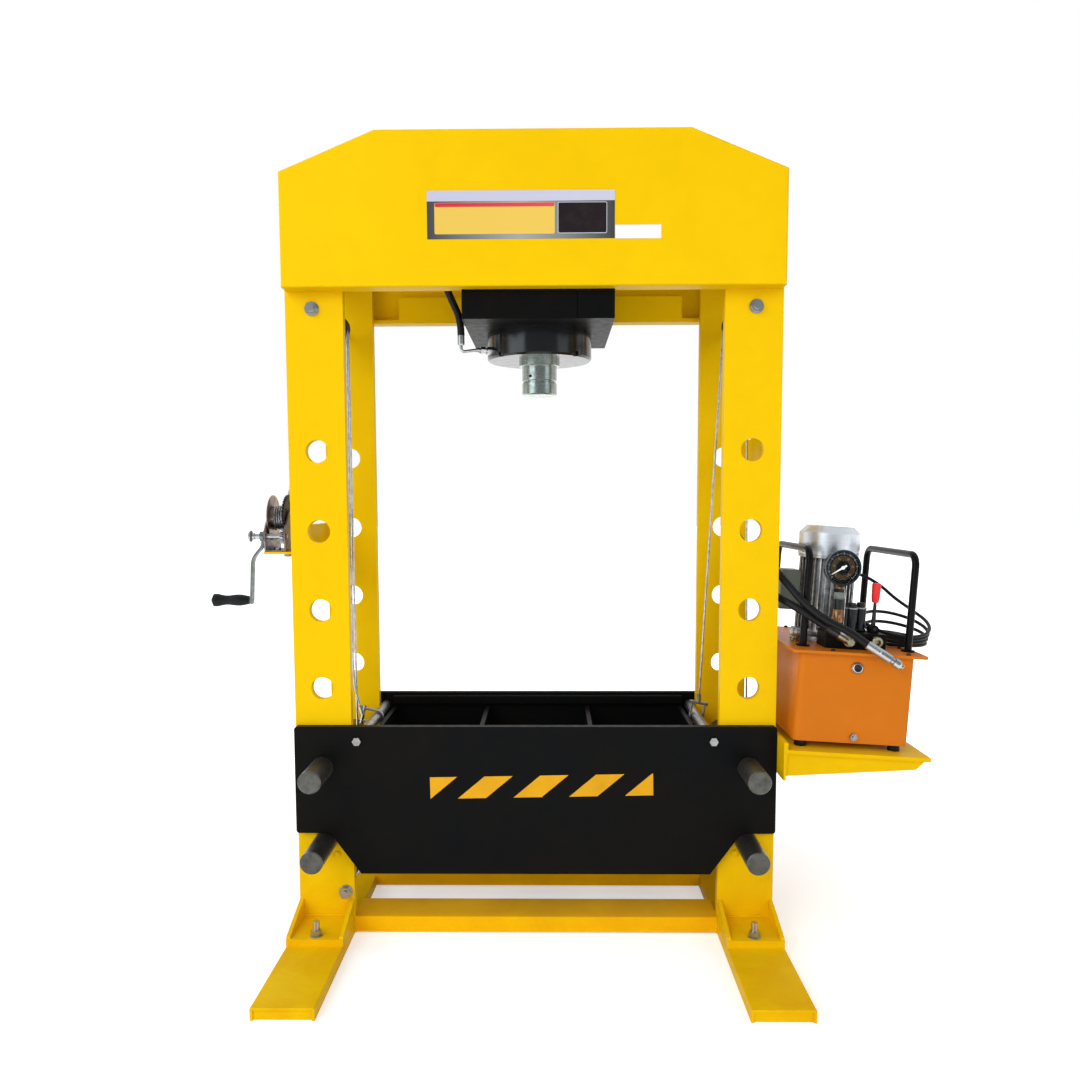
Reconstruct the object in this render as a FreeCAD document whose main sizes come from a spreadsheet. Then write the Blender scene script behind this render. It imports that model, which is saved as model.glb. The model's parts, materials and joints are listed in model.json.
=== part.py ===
"""Workshop hydraulic press: H frame, adjustable bed, hand winch and electric power pack.

Millimetres. The origin is on the floor, under the middle of the frame and at half its depth.
X runs to the right, Y to the back, Z up. The ram moves down along Z.
"""
import FreeCAD, Part
import math
import os
import types
import Sketcher

V = FreeCAD.Vector
Placement = FreeCAD.Placement
Rotation = FreeCAD.Rotation

SIZES = {
    # frame: four flat bars in two pairs, with holes for the bed pins
    "half_width": 622,
    "half_depth": 202.5,
    "bar_width": 145,
    "bar_thickness": 25,
    "bar_bottom": 48,
    "bar_top": 1915,
    "hole_across": 550,
    "hole_top": 1265,
    "hole_pitch": 203,
    "hole_diameter": 58,
    "tie_thickness": 10,
    # top beams: folded trays with sloping shoulders
    "beam_half_width": 617,
    "beam_depth": 50,
    "beam_wall": 10,
    "beam_bottom": 1660,
    "beam_shoulder": 1934,
    "beam_top": 2030,
    "beam_slope_start": 383,
    "beam_edge_radius": 5,
    "stiffener_half_length": 415,
    "stiffener_bottom": 1670,
    "stiffener_height": 64,
    "stiffener_thickness": 12,
    # feet: low channels under the bars, with a shoe on top of each end
    "foot_width": 143,
    "foot_height": 30,
    "foot_half_length": 612,
    "foot_wall": 6,
    "foot_end_inset": 4,
    "shoe_front": 338,
    "shoe_back": 165,
    "shoe_thickness": 18,
    "gusset_top": 94,
    "gusset_thickness": 10,
    "gusset_toe": 6,
    "shoe_bolt_y": 316,
    "shoe_bolt_diameter": 16,
    "shoe_bolt_height": 38,
    "rail_bottom": 3,
    "rail_height": 41,
    "rail_depth": 114,
    "rail_wall": 5,
    # head: plate under both beams, with the cylinder standing through it
    "head_shift": 12,
    "head_half_width": 190,
    "head_half_depth": 220,
    "head_bottom": 1588,
    "cylinder_diameter": 282,
    "cylinder_neck": 240,
    "cylinder_bottom": 1516,
    "cylinder_top": 1958,
    "bore_diameter": 170,
    "bore_bottom": 1560,
    "bore_top": 1932,
    "rod_diameter": 94,
    "rod_clearance": 0.05,
    "gland_flange": 110,
    "gland_sleeve": 104,
    "gland_flange_height": 15,
    "piston_height": 60,
    "piston_gap": 2,
    "nose_bottom": 1424,
    "nose_height": 34,
    "nose_spigot": 50,
    "nose_chamfer": 3,
    "groove_depth": 2.5,
    # bed: two shaped plates with webs between them
    "bed_plate": 20,
    "bed_gap": 1,
    "bed_half_width": 621,
    "bed_top": 560,
    "bed_bottom": 170,
    "ear_bottom": 278.5,
    "ear_inner": 533,
    "slope_foot": 454,
    "bed_corner": 8,
    "web_thickness": 12,
    "web_inner": 150,
    "web_outer": 430,
    "web_top": 520,
    "web_bottom": 190,
    "ledge_size": 22,
    "ledge_drop": 8,
    "tie_rod_across": 459,
    "tie_rod_height": 522,
    "tie_rod_diameter": 28,
    "tie_head_width": 20,
    "tie_head_height": 7,
    "pin_diameter": 57.4,
    "pin_half_length": 352,
    "pin_chamfer": 2,
    # hoist: ropes, pulleys and hand winch
    "axle_across": 554,
    "axle_height": 1618,
    "axle_diameter": 18,
    "pulley_radius": 32,
    "pulley_rim": 37,
    "pulley_width": 16,
    "low_pulley_radius": 17,
    "low_pulley_rim": 21,
    "low_axle_left": 500,
    "low_axle_height": 113,
    "rope_diameter": 6,
    "rope_gap": 0.3,
    "strand_y": 37.4,
    "left_rope_y": 38,
    "right_rope_y": 56,
    "low_axle_right": 592,
    "winch_x": 704,
    "winch_z": 1094.5,
    "shelf_top": 1003,
    "shelf_plate": 6,
    "shelf_out": 112,
    "shelf_half_depth": 74,
    "frame_half_length": 70,
    "cheek_half_width": 29,
    "cheek_plate": 4,
    "drum_core": 28,
    "drum_flange": 62,
    "drum_left": -24.5,
    "drum_right": 16,
    "gear_teeth": 40,
    "pinion_teeth": 12,
    "gear_module": 3,
    "gear_width": 6,
    "pinion_width": 9,
    "shaft_drop": 49.5,
    "axle_bore": 20.1,
    "shaft_bore": 14.1,
    "crank_length": 174,
    "crank_bar_width": 20,
    "crank_bar": 6,
    "grip_length": 96,
    # power pack, in its own frame on the sagging shelf
    "pack_x": 632,
    "pack_z": 518,
    "pack_sag": 3.4,
    "pack_front": 290,
    "pack_back": 200,
    "pack_shelf_length": 356,
    "pack_plate": 10,
    "pack_gusset_root": 68,
    "pack_gusset_tip": 33,
    "pack_gusset_length": 323,
    "tank_left": 21,
    "tank_right": 309,
    "tank_front": 255,
    "tank_back": 175,
    "tank_base": 18,
    "tank_top": 243,
    "tank_wall": 3,
    "tank_corner": 14,
    "lid_left": 1,
    "lid_right": 338,
    "lid_front": 268,
    "lid_back": 188,
    "lid_plate": 7,
    "hoop_left": 43.5,
    "hoop_right": 314,
    "hoop_front": 190,
    "hoop_back": 130,
    "hoop_back_right": 168,
    "hoop_top": 499,
    "hoop_tube": 18.5,
    "hoop_bend": 32,
    "motor_u": 134,
    "motor_y": 45,
    "motor_flange": 152,
    "motor_body": 124,
    "fin_reach": 73,
    "fin_count": 30,
    "fin_thickness": 2.6,
    "body_bottom": 275,
    "body_top": 484,
    "cowl_diameter": 160,
    "cowl_bottom": 482,
    "cowl_top": 559,
    "cowl_slope": 18,
    "cowl_wall": 2,
    "gauge_u": 124,
    "gauge_w": 457,
    "gauge_front": 214,
    "gauge_diameter": 92,
    "gauge_depth": 30,
    "valve_left": 96,
    "valve_right": 250,
    "valve_front": 208,
    "valve_back": 130,
    "valve_top": 292,
    "lever_u": 226,
    "lever_y": 172,
    "lever_knob_bottom": 370,
    "lever_knob_top": 420,
    "hose_diameter": 19,
    "lead_diameter": 9,
}


class Size:
    """A length that keeps both its number and the sheet formula it comes from."""

    def __init__(self, number, formula):
        self.number = float(number)
        self.formula = formula

    def __add__(self, other):
        other = as_size(other)
        return Size(self.number + other.number, f"({self.formula} + {other.formula})")

    def __sub__(self, other):
        other = as_size(other)
        return Size(self.number - other.number, f"({self.formula} - {other.formula})")

    def __mul__(self, other):
        other = as_size(other)
        return Size(self.number * other.number, f"({self.formula} * {other.formula})")

    def __truediv__(self, other):
        other = as_size(other)
        return Size(self.number / other.number, f"({self.formula} / {other.formula})")

    def __neg__(self):
        return Size(-self.number, f"(0 - {self.formula})")

    def __radd__(self, other):
        return as_size(other) + self

    def __rsub__(self, other):
        return as_size(other) - self

    def __rmul__(self, other):
        return as_size(other) * self

    def __float__(self):
        return self.number


def as_size(value):
    """Wrap a plain number as a Size."""
    if isinstance(value, Size):
        return value
    return Size(value, repr(float(value)))


def fill_sheet(sheet):
    """Write every driving size to the sheet under its own name."""
    named = {}
    for row, (name, number) in enumerate(SIZES.items(), start=1):
        sheet.set(f"A{row}", name)
        sheet.set(f"B{row}", str(number))
        sheet.setAlias(f"B{row}", name)
        named[name] = Size(number, f"Size.{name}")
    return types.SimpleNamespace(**named)


doc = FreeCAD.newDocument("hydraulic_press")
s = fill_sheet(doc.addObject("Spreadsheet::Sheet", "Size"))
doc.recompute()
PIECES = []


# ---------------------------------------------------------------- modelling helpers

def body(label, placement=None):
    """Start a sub-part as a body of its own."""
    new = doc.addObject("PartDesign::Body", label)
    new.Label = label
    if placement is not None:
        new.Placement = placement
    PIECES.append(new)
    return new


def solid_feature(label, shape, placement=None):
    """Keep a shape made from Part's own functions as a sub-part."""
    new = doc.addObject("Part::Feature", label)
    new.Label = label
    new.Shape = shape
    if placement is not None:
        new.Placement = placement
    PIECES.append(new)
    return new


def origin_feature(owner, role):
    """The body's own origin plane or axis with this role."""
    for feature in owner.Origin.OriginFeatures:
        if feature.Role == role:
            return feature
    raise ValueError(role)


def bind(feature, path, value):
    """Drive one property of a feature from the sheet."""
    feature.setExpression(path, as_size(value).formula)


def sketch_on(owner, role, offset=0):
    """A sketch on one of the body's own planes, moved along that plane's normal."""
    sketch = owner.newObject("Sketcher::SketchObject", owner.Label + "_sketch")
    sketch.AttachmentSupport = [(origin_feature(owner, role), "")]
    sketch.MapMode = "FlatFace"
    sketch.AttachmentOffset = Placement(V(0, 0, float(offset)), Rotation())
    bind(sketch, "AttachmentOffset.Base.z", offset)
    return sketch


def pin_point(sketch, geometry, vertex, point):
    """Hold one point of a sketch at its two sizes."""
    for kind, value in zip(("DistanceX", "DistanceY"), point):
        value = as_size(value)
        index = sketch.addConstraint(Sketcher.Constraint(kind, -1, 1, geometry, vertex, value.number))
        sketch.setExpression(f"Constraints[{index}]", value.formula)


def draw_polygon(sketch, points):
    """A closed outline of straight lines, every corner held by the sheet."""
    first = sketch.GeometryCount
    count = len(points)
    for i, start in enumerate(points):
        end = points[(i + 1) % count]
        line = Part.LineSegment(V(float(start[0]), float(start[1]), 0), V(float(end[0]), float(end[1]), 0))
        sketch.addGeometry(line, False)
    for i in range(count):
        after = first + (i + 1) % count
        sketch.addConstraint(Sketcher.Constraint("Coincident", first + i, 2, after, 1))
    for i, start in enumerate(points):
        pin_point(sketch, first + i, 1, start)


def draw_circle(sketch, x, y, diameter):
    """A circle whose centre and diameter are held by the sheet."""
    diameter = as_size(diameter)
    centre = V(float(x), float(y), 0)
    index = sketch.addGeometry(Part.Circle(centre, V(0, 0, 1), diameter.number / 2), False)
    pin_point(sketch, index, 3, (x, y))
    constraint = sketch.addConstraint(Sketcher.Constraint("Diameter", index, diameter.number))
    sketch.setExpression(f"Constraints[{constraint}]", diameter.formula)


def draw(sketch, shapes):
    """Draw outlines: a list of corners is a polygon, a tuple (x, y, diameter) is a circle."""
    for shape in shapes:
        if isinstance(shape, tuple):
            draw_circle(sketch, *shape)
        else:
            draw_polygon(sketch, shape)


def rectangle(left, right, low, high):
    """Corners of an upright rectangle."""
    return [(left, low), (right, low), (right, high), (left, high)]


def pad(owner, role, shapes, low, high):
    """Extrude outlines between two places on the axis square to the plane."""
    back_to_front = role == "XZ_Plane"
    offset = -as_size(high) if back_to_front else low
    sketch = sketch_on(owner, role, offset)
    draw(sketch, shapes)
    feature = owner.newObject("PartDesign::Pad", owner.Label + "_pad")
    feature.Profile = sketch
    feature.Length = float(high) - float(low)
    bind(feature, "Length", as_size(high) - as_size(low))
    return feature


def cut(owner, role, shapes, low, high):
    """Cut outlines out between two places on the axis square to the plane."""
    back_to_front = role == "XZ_Plane"
    offset = -as_size(low) if back_to_front else high
    before = volume(owner)
    sketch = sketch_on(owner, role, offset)
    draw(sketch, shapes)
    feature = owner.newObject("PartDesign::Pocket", owner.Label + "_cut")
    feature.Profile = sketch
    feature.Length = float(high) - float(low)
    bind(feature, "Length", as_size(high) - as_size(low))
    doc.recompute()
    if volume(owner) >= before:
        raise RuntimeError(f"{feature.Label} removed nothing")
    return feature


def volume(owner):
    """Volume of the body as it stands."""
    doc.recompute()
    return owner.Shape.Volume


def turn(owner, points):
    """Revolve a half profile, radius and height, about the body's Z axis."""
    sketch = sketch_on(owner, "XZ_Plane")
    draw_polygon(sketch, points)
    feature = owner.newObject("PartDesign::Revolution", owner.Label + "_turned")
    feature.Profile = sketch
    feature.ReferenceAxis = (origin_feature(owner, "Z_Axis"), [""])
    feature.Angle = 360
    return feature


def mirror(owner, features, role):
    """Mirror features in one of the body's origin planes."""
    feature = owner.newObject("PartDesign::Mirrored", owner.Label + "_mirror")
    feature.Originals = features
    feature.MirrorPlane = (origin_feature(owner, role), [""])
    owner.Tip = feature
    return feature


def row(owner, features, role, length, count, reverse=False):
    """Repeat features in a straight row."""
    feature = owner.newObject("PartDesign::LinearPattern", owner.Label + "_row")
    feature.Originals = features
    feature.Direction = (origin_feature(owner, role), [""])
    feature.Reversed = reverse
    feature.Length = float(length)
    bind(feature, "Length", length)
    feature.Occurrences = count
    owner.Tip = feature
    return feature


def ring(owner, features, role, count):
    """Repeat features all round one of the body's axes."""
    feature = owner.newObject("PartDesign::PolarPattern", owner.Label + "_ring")
    feature.Originals = features
    feature.Axis = (origin_feature(owner, role), [""])
    feature.Angle = 360
    feature.Occurrences = int(count)
    owner.Tip = feature
    return feature


def dress(owner, kind, size, chosen):
    """Fillet or chamfer the edges of the body's tip that a test chooses."""
    doc.recompute()
    base = owner.Tip
    names = [f"Edge{i}" for i, edge in enumerate(base.Shape.Edges, start=1) if chosen(edge)]
    if not names:
        raise RuntimeError(f"no edge chosen on {owner.Label}")
    feature = owner.newObject(f"PartDesign::{kind}", owner.Label + "_dressed")
    feature.Base = (base, names)
    path = "Radius" if kind == "Fillet" else "Size"
    setattr(feature, path, float(size))
    bind(feature, path, size)
    return feature


def runs_along(edge, axis):
    """True for a straight edge along the axis with this index, 0 to 2."""
    if len(edge.Vertexes) != 2 or edge.Curve.TypeId != "Part::GeomLine":
        return False
    direction = edge.Vertexes[1].Point - edge.Vertexes[0].Point
    return abs(direction[axis]) > 0.999 * direction.Length


# ---------------------------------------------------------------- frame

def make_beam(label, rib_shift, placement=None):
    """One top beam: a folded tray, web outwards, with sloping shoulders and a stiffening bar."""
    beam = body(label, placement)
    front = -s.half_depth - s.beam_depth
    outline = [
        (-s.beam_half_width, s.beam_bottom),
        (s.beam_half_width, s.beam_bottom),
        (s.beam_half_width, s.beam_shoulder),
        (s.beam_slope_start, s.beam_top),
        (-s.beam_slope_start, s.beam_top),
        (-s.beam_half_width, s.beam_shoulder),
    ]
    pad(beam, "XZ_Plane", [outline], front, -s.half_depth)
    dress(beam, "Fillet", s.beam_edge_radius, lambda e: e.BoundBox.YMax < float(front) + 0.01)
    wall = s.beam_wall
    inside = [
        (-s.beam_half_width + wall, s.beam_bottom + wall),
        (s.beam_half_width - wall, s.beam_bottom + wall),
        (s.beam_half_width - wall, s.beam_shoulder - wall),
        (s.beam_slope_start - 2, s.beam_top - wall),
        (-s.beam_slope_start + 2, s.beam_top - wall),
        (-s.beam_half_width + wall, s.beam_shoulder - wall),
    ]
    cut(beam, "XZ_Plane", [inside], front + wall, -s.half_depth)
    rib = rectangle(rib_shift - s.stiffener_half_length, rib_shift + s.stiffener_half_length,
                    s.stiffener_bottom, s.stiffener_bottom + s.stiffener_height)
    pad(beam, "XZ_Plane", [rib], -s.half_depth - s.stiffener_thickness, -s.half_depth)
    return beam


def make_bar(label, side, back):
    """One upright bar, with a row of pin holes and a hole for each rope axle."""
    bar = body(label)
    inner = s.half_width - s.bar_width
    edges = sorted((side * s.half_width, side * inner), key=float)
    low_y = s.half_depth - s.bar_thickness if back else -s.half_depth
    high_y = s.half_depth if back else -s.half_depth + s.bar_thickness
    pad(bar, "XZ_Plane", [rectangle(edges[0], edges[1], s.bar_bottom, s.bar_top)], low_y, high_y)
    first = cut(bar, "XZ_Plane", [(side * s.hole_across, s.hole_top, s.hole_diameter)], low_y, high_y)
    row(bar, [first], "Z_Axis", s.hole_pitch * 5, 6, reverse=True)
    axles = [(side * s.axle_across, s.axle_height, s.axle_diameter)]
    if side < 0:
        axles.append((-s.low_axle_left, s.low_axle_height, s.axle_diameter))
    cut(bar, "XZ_Plane", axles, low_y, high_y)
    return bar


def make_ties():
    """Batten plates that join the front and back bars at their outer edges."""
    ties = body("column_ties")
    inside = s.half_depth - s.bar_thickness
    right = [(300, 400), (1212, 1312), (1740, 1860)]
    left = [(300, 400), (940, 1076), (1740, 1860)]
    for side, heights in ((-1, left), (1, right)):
        edges = sorted((side * s.half_width, side * (s.half_width - s.tie_thickness)), key=float)
        for low, high in heights:
            pad(ties, "XY_Plane", [rectangle(edges[0], edges[1], -inside, inside)], low, high)
    return ties


def make_feet():
    """Two feet: channels with the web up, their ends closed by set-in plates."""
    foot = body("feet")
    for side in (-1, 1):
        foot_channel(foot, side * s.hole_across)
    dress(foot, "Fillet", 3, lambda e: runs_along(e, 1) and e.BoundBox.ZMin > float(s.foot_height) - 0.1)
    return foot


def foot_channel(foot, centre):
    """One channel of the feet, round its own centre line."""
    half = s.foot_width / 2
    wall = s.foot_wall
    left = centre - half
    right = centre + half
    channel = [
        (left, 0), (left + wall, 0), (left + wall, s.foot_height - wall),
        (right - wall, s.foot_height - wall), (right - wall, 0), (right, 0),
        (right, s.foot_height), (left, s.foot_height),
    ]
    pad(foot, "XZ_Plane", [channel], -s.foot_half_length, s.foot_half_length)
    end = s.foot_half_length - s.foot_end_inset
    plate = rectangle(left + wall - 1, right - wall + 1, 1, s.foot_height - wall + 1)
    closed = pad(foot, "XZ_Plane", [plate], end - wall, end)
    mirror(foot, [closed], "XZ_Plane")


def make_shoes():
    """Four shoes: a base plate on the foot and two gussets against the bar."""
    shoes = body("foot_shoes")
    features = []
    for side in (-1, 1):
        centre = side * s.hole_across
        half = s.foot_width / 2
        base_top = s.foot_height + s.shoe_thickness
        base = rectangle(centre - half, centre + half, -s.shoe_front, -s.shoe_back)
        features.append(pad(shoes, "XY_Plane", [base], s.foot_height, base_top))
        for flank in (-1, 1):
            outer = centre + flank * half
            faces = sorted((outer, outer - flank * s.gusset_thickness), key=float)
            gusset = [
                (-s.half_depth, base_top), (-s.half_depth, s.gusset_top),
                (-s.shoe_front + 6, base_top + s.gusset_toe), (-s.shoe_front + 3, base_top),
            ]
            features.append(pad(shoes, "YZ_Plane", [gusset], faces[0], faces[1]))
    mirror(shoes, features, "XZ_Plane")
    return shoes


def make_rails():
    """Two low channels across the frame, front and back."""
    rails = body("cross_rails")
    inner = s.half_width - s.bar_width + 1.5
    wall = s.rail_wall
    top = s.rail_bottom + s.rail_height
    front = -s.half_depth
    back = front + s.rail_depth
    channel = [
        (front, s.rail_bottom), (front + wall, s.rail_bottom), (front + wall, top - wall),
        (back - wall, top - wall), (back - wall, s.rail_bottom), (back, s.rail_bottom),
        (back, top), (front, top),
    ]
    first = pad(rails, "YZ_Plane", [channel], -inner, inner)
    mirror(rails, [first], "XZ_Plane")
    dress(rails, "Fillet", 4, lambda e: runs_along(e, 0) and e.BoundBox.ZMin > float(top) - 0.1)
    return rails


def hexagon(x, y, flats):
    """Corners of a hexagon with flats this far apart."""
    radius = as_size(flats) / math.sqrt(3)
    return [(x + radius * math.cos(math.radians(60 * k)), y + radius * math.sin(math.radians(60 * k)))
            for k in range(6)]


def make_shoe_bolts():
    """One stud with washer and nut in every shoe."""
    bolts = body("shoe_bolts")
    features = []
    top = s.foot_height + s.shoe_thickness
    for side in (-1, 1):
        x = side * s.hole_across
        y = -s.shoe_bolt_y
        features.append(pad(bolts, "XY_Plane", [(x, y, s.shoe_bolt_diameter * 2)], top, top + 3))
        nut_top = top + 16
        features.append(pad(bolts, "XY_Plane", [hexagon(x, y, s.shoe_bolt_diameter * 1.5)], top + 3, nut_top))
        stud = [(x, y, s.shoe_bolt_diameter)]
        features.append(pad(bolts, "XY_Plane", stud, nut_top, top + s.shoe_bolt_height))
    mirror(bolts, features, "XZ_Plane")
    return bolts


make_beam("beam_front", s.head_shift)
make_beam("beam_rear", -s.head_shift, Placement(V(0, 0, 0), Rotation(V(0, 0, 1), 180)))
for bar_side, side_name in ((-1, "left"), (1, "right")):
    make_bar(f"bar_front_{side_name}", bar_side, False)
    make_bar(f"bar_rear_{side_name}", bar_side, True)
make_feet()
make_ties()
make_shoes()
make_rails()
make_shoe_bolts()


# ---------------------------------------------------------------- head

def make_head_plate():
    """Thick plate under both beams, bored for the cylinder, with a joint line at the right."""
    plate = body("head_plate", Placement(V(float(s.head_shift), 0, 0), Rotation()))
    square = rectangle(-s.head_half_width, s.head_half_width, -s.head_half_depth, s.head_half_depth)
    pad(plate, "XY_Plane", [square], s.head_bottom, s.beam_bottom)
    cut(plate, "XY_Plane", [(0, 0, s.cylinder_neck)], s.head_bottom, s.beam_bottom)
    dress(plate, "Chamfer", 3, lambda e: runs_along(e, 2))
    seam = rectangle(96, 98, s.head_bottom, s.beam_bottom)
    cut(plate, "XZ_Plane", [seam], -s.head_half_depth, -s.head_half_depth + 4)
    return plate


def make_barrel():
    """Cylinder barrel: wide collar under the plate, neck through it, closed top."""
    barrel = body("cylinder_barrel", Placement(V(float(s.head_shift), 0, 0), Rotation()))
    collar = s.cylinder_diameter / 2
    neck = s.cylinder_neck / 2
    bore = s.bore_diameter / 2
    sleeve = s.gland_sleeve / 2
    edge = 5
    turn(barrel, [
        (sleeve, s.cylinder_bottom), (collar - edge, s.cylinder_bottom),
        (collar, s.cylinder_bottom + edge), (collar, s.head_bottom),
        (neck, s.head_bottom), (neck, s.cylinder_top - edge), (neck - edge, s.cylinder_top),
        (0, s.cylinder_top), (0, s.bore_top), (bore, s.bore_top),
        (bore, s.bore_bottom), (sleeve, s.bore_bottom),
    ])
    holes = [(-100, -98, 14), (96, -98, 14), (-100, 98, 14), (96, 98, 14)]
    cut(barrel, "XY_Plane", holes, s.cylinder_bottom, s.cylinder_bottom + 12)
    return barrel


def make_gland():
    """Steel bush that guides the rod at the bottom of the cylinder."""
    gland = body("gland_ring", Placement(V(float(s.head_shift), 0, 0), Rotation()))
    rod = s.rod_diameter / 2 + s.rod_clearance
    flange = s.gland_flange / 2
    bottom = s.cylinder_bottom - s.gland_flange_height
    turn(gland, [
        (rod, bottom), (flange - 2, bottom), (flange, bottom + 2), (flange, s.cylinder_bottom),
        (s.gland_sleeve / 2, s.cylinder_bottom), (s.gland_sleeve / 2, s.bore_bottom),
        (rod, s.bore_bottom),
    ])
    return gland


def make_ram():
    """Piston and rod, turned in one piece, with a socket for the nose."""
    ram = body("ram_rod", Placement(V(float(s.head_shift), 0, 0), Rotation()))
    rod = s.rod_diameter / 2
    piston = s.bore_diameter / 2 - s.rod_clearance
    end = s.nose_bottom + s.nose_height
    piston_top = s.bore_top - s.piston_gap
    piston_bottom = piston_top - s.piston_height
    spigot = s.nose_spigot / 2
    groove = s.groove_depth
    turn(ram, [
        (spigot, end), (rod - groove, end), (rod - groove, end + 3), (rod, end + 3 + groove),
        (rod, piston_bottom), (piston, piston_bottom), (piston, piston_top),
        (0, piston_top), (0, end + 30), (spigot, end + 30),
    ])
    cut(ram, "XZ_Plane", [(-24, end + 15, 8)], -rod, 0)
    return ram


def make_nose():
    """Pressing nose on the end of the rod."""
    nose = body("ram_nose", Placement(V(float(s.head_shift), 0, 0), Rotation()))
    radius = s.rod_diameter / 2
    spigot = s.nose_spigot / 2
    top = s.nose_bottom + s.nose_height
    turn(nose, [
        (0, s.nose_bottom), (radius - s.nose_chamfer, s.nose_bottom),
        (radius, s.nose_bottom + s.nose_chamfer), (radius, top - 2), (radius - 2, top),
        (spigot, top), (spigot, top + 29), (0, top + 29),
    ])
    return nose


def fillet_route(points, fraction=0.45):
    """Straight runs joined by tangent arcs, each as large as its two runs allow."""
    points = [V(*p) for p in points]
    edges = []
    radii = []
    start = points[0]
    for before, corner, after in zip(points, points[1:], points[2:]):
        coming = (corner - before).normalize()
        going = (after - corner).normalize()
        turn_angle = coming.getAngle(going)
        shorter = min((corner - before).Length, (after - corner).Length)
        cut_back = shorter * fraction
        radii.append(cut_back / math.tan(turn_angle / 2))
        arc_start = corner - coming * cut_back
        arc_end = corner + going * cut_back
        inward = (going - coming).normalize()
        depth = radii[-1] * (1 / math.cos(turn_angle / 2) - 1)
        edges.append(Part.LineSegment(start, arc_start).toShape())
        edges.append(Part.Arc(arc_start, corner + inward * depth, arc_end).toShape())
        start = arc_end
    edges.append(Part.LineSegment(start, points[-1]).toShape())
    return Part.Wire(edges), radii


def sweep_tube(wire, diameter):
    """A round solid along a wire."""
    first = wire.OrderedEdges[0]
    start = first.valueAt(first.FirstParameter)
    direction = first.tangentAt(first.FirstParameter)
    if wire.OrderedVertexes[0].Point.distanceToPoint(start) > 0.01:
        start = first.valueAt(first.LastParameter)
        direction = -first.tangentAt(first.LastParameter)
    section = Part.Wire(Part.Circle(start, direction, float(diameter) / 2).toShape())
    return wire.makePipeShell([section], True, False)


def report_tube(label, wire, diameter, radii):
    """Print a tube's length, radii and how its volume compares with its section."""
    expected = wire.Length * math.pi * float(diameter) ** 2 / 4
    ratio = sweep_tube(wire, diameter).Volume / expected
    listed = ", ".join(f"{r:.0f}" for r in radii)
    print(f"{label}: length {wire.Length:.0f}, volume ratio {ratio:.4f}, radii {listed}")


def turned_solid(points):
    """Full solid of revolution about Z of a half profile (radius, height)."""
    corners = [V(float(r), 0, float(h)) for r, h in points]
    face = Part.Face(Part.makePolygon(corners + [corners[0]]))
    return face.revolve(V(0, 0, 0), V(0, 0, 1), 360)


def hex_bar(flats, low, high):
    """Hexagonal prism about Z."""
    radius = flats / math.sqrt(3)
    corners = [V(radius * math.cos(math.radians(60 * k)), radius * math.sin(math.radians(60 * k)), low)
               for k in range(7)]
    return Part.Face(Part.makePolygon(corners)).extrude(V(0, 0, high - low))


def along(start, direction):
    """Placement that lays the Z axis of a part along a direction from a start point."""
    return Placement(V(*start), Rotation(V(0, 0, 1), V(*direction)))


PORT_ANGLE = 205
PORT_HEIGHT = 1536
PORT_REACH = 84
HOSE_DROP = 1547


def make_head_port():
    """Steel elbow at the cylinder: banjo block, nut and bent pipe up to the hose ferrule."""
    out = V(math.cos(math.radians(PORT_ANGLE)), math.sin(math.radians(PORT_ANGLE)), 0)
    centre = V(float(s.head_shift), 0, PORT_HEIGHT)
    reach = float(s.cylinder_diameter) / 2
    frame = along(centre + out * (reach - 3), out)
    block = hex_bar(19, 0, 16).fuse(turned_solid([(0, 16), (7, 16), (7, 20), (0, 20)]))
    block = block.fuse(hex_bar(17, 20, 34)).fuse(turned_solid([(0, 34), (7, 34), (5.5, 46), (0, 46)]))
    block.Placement = frame
    block = block.cut(Part.makeCylinder(reach, 80, centre - V(0, 0, 40)))
    start = centre + out * (reach + 40)
    knee = centre + out * (reach + PORT_REACH)
    ferrule = V(knee.x, knee.y, HOSE_DROP - 2)
    route = [start, knee - V(0, 0, 8), V(knee.x, knee.y, HOSE_DROP + 4)]
    wire, radii = fillet_route([tuple(p) for p in route])
    pipe = sweep_tube(wire, 8)
    collar = turned_solid([(4, 0), (8, 0), (9, 3), (9, 25), (0, 25), (0, 0)])
    collar.Placement = along(ferrule, (0, 0, 1))
    front = block.fuse(pipe).fuse(collar).removeSplitter()
    neck = float(s.cylinder_neck) / 2
    top = hex_bar(24, -4, 12).fuse(turned_solid([(0, 12), (9, 12), (10, 15), (10, 30), (0, 30)]))
    top.Placement = along((float(s.head_shift) + neck, 0, float(s.bore_top)), (1, 0, 0))
    inside = Part.makeCylinder(neck, 80, V(float(s.head_shift), 0, float(s.bore_top) - 40))
    return solid_feature("head_port", Part.makeCompound([front, top.cut(inside).removeSplitter()]))


make_head_plate()
make_barrel()
make_gland()
make_ram()
make_nose()
make_head_port()


# ---------------------------------------------------------------- bed

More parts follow.
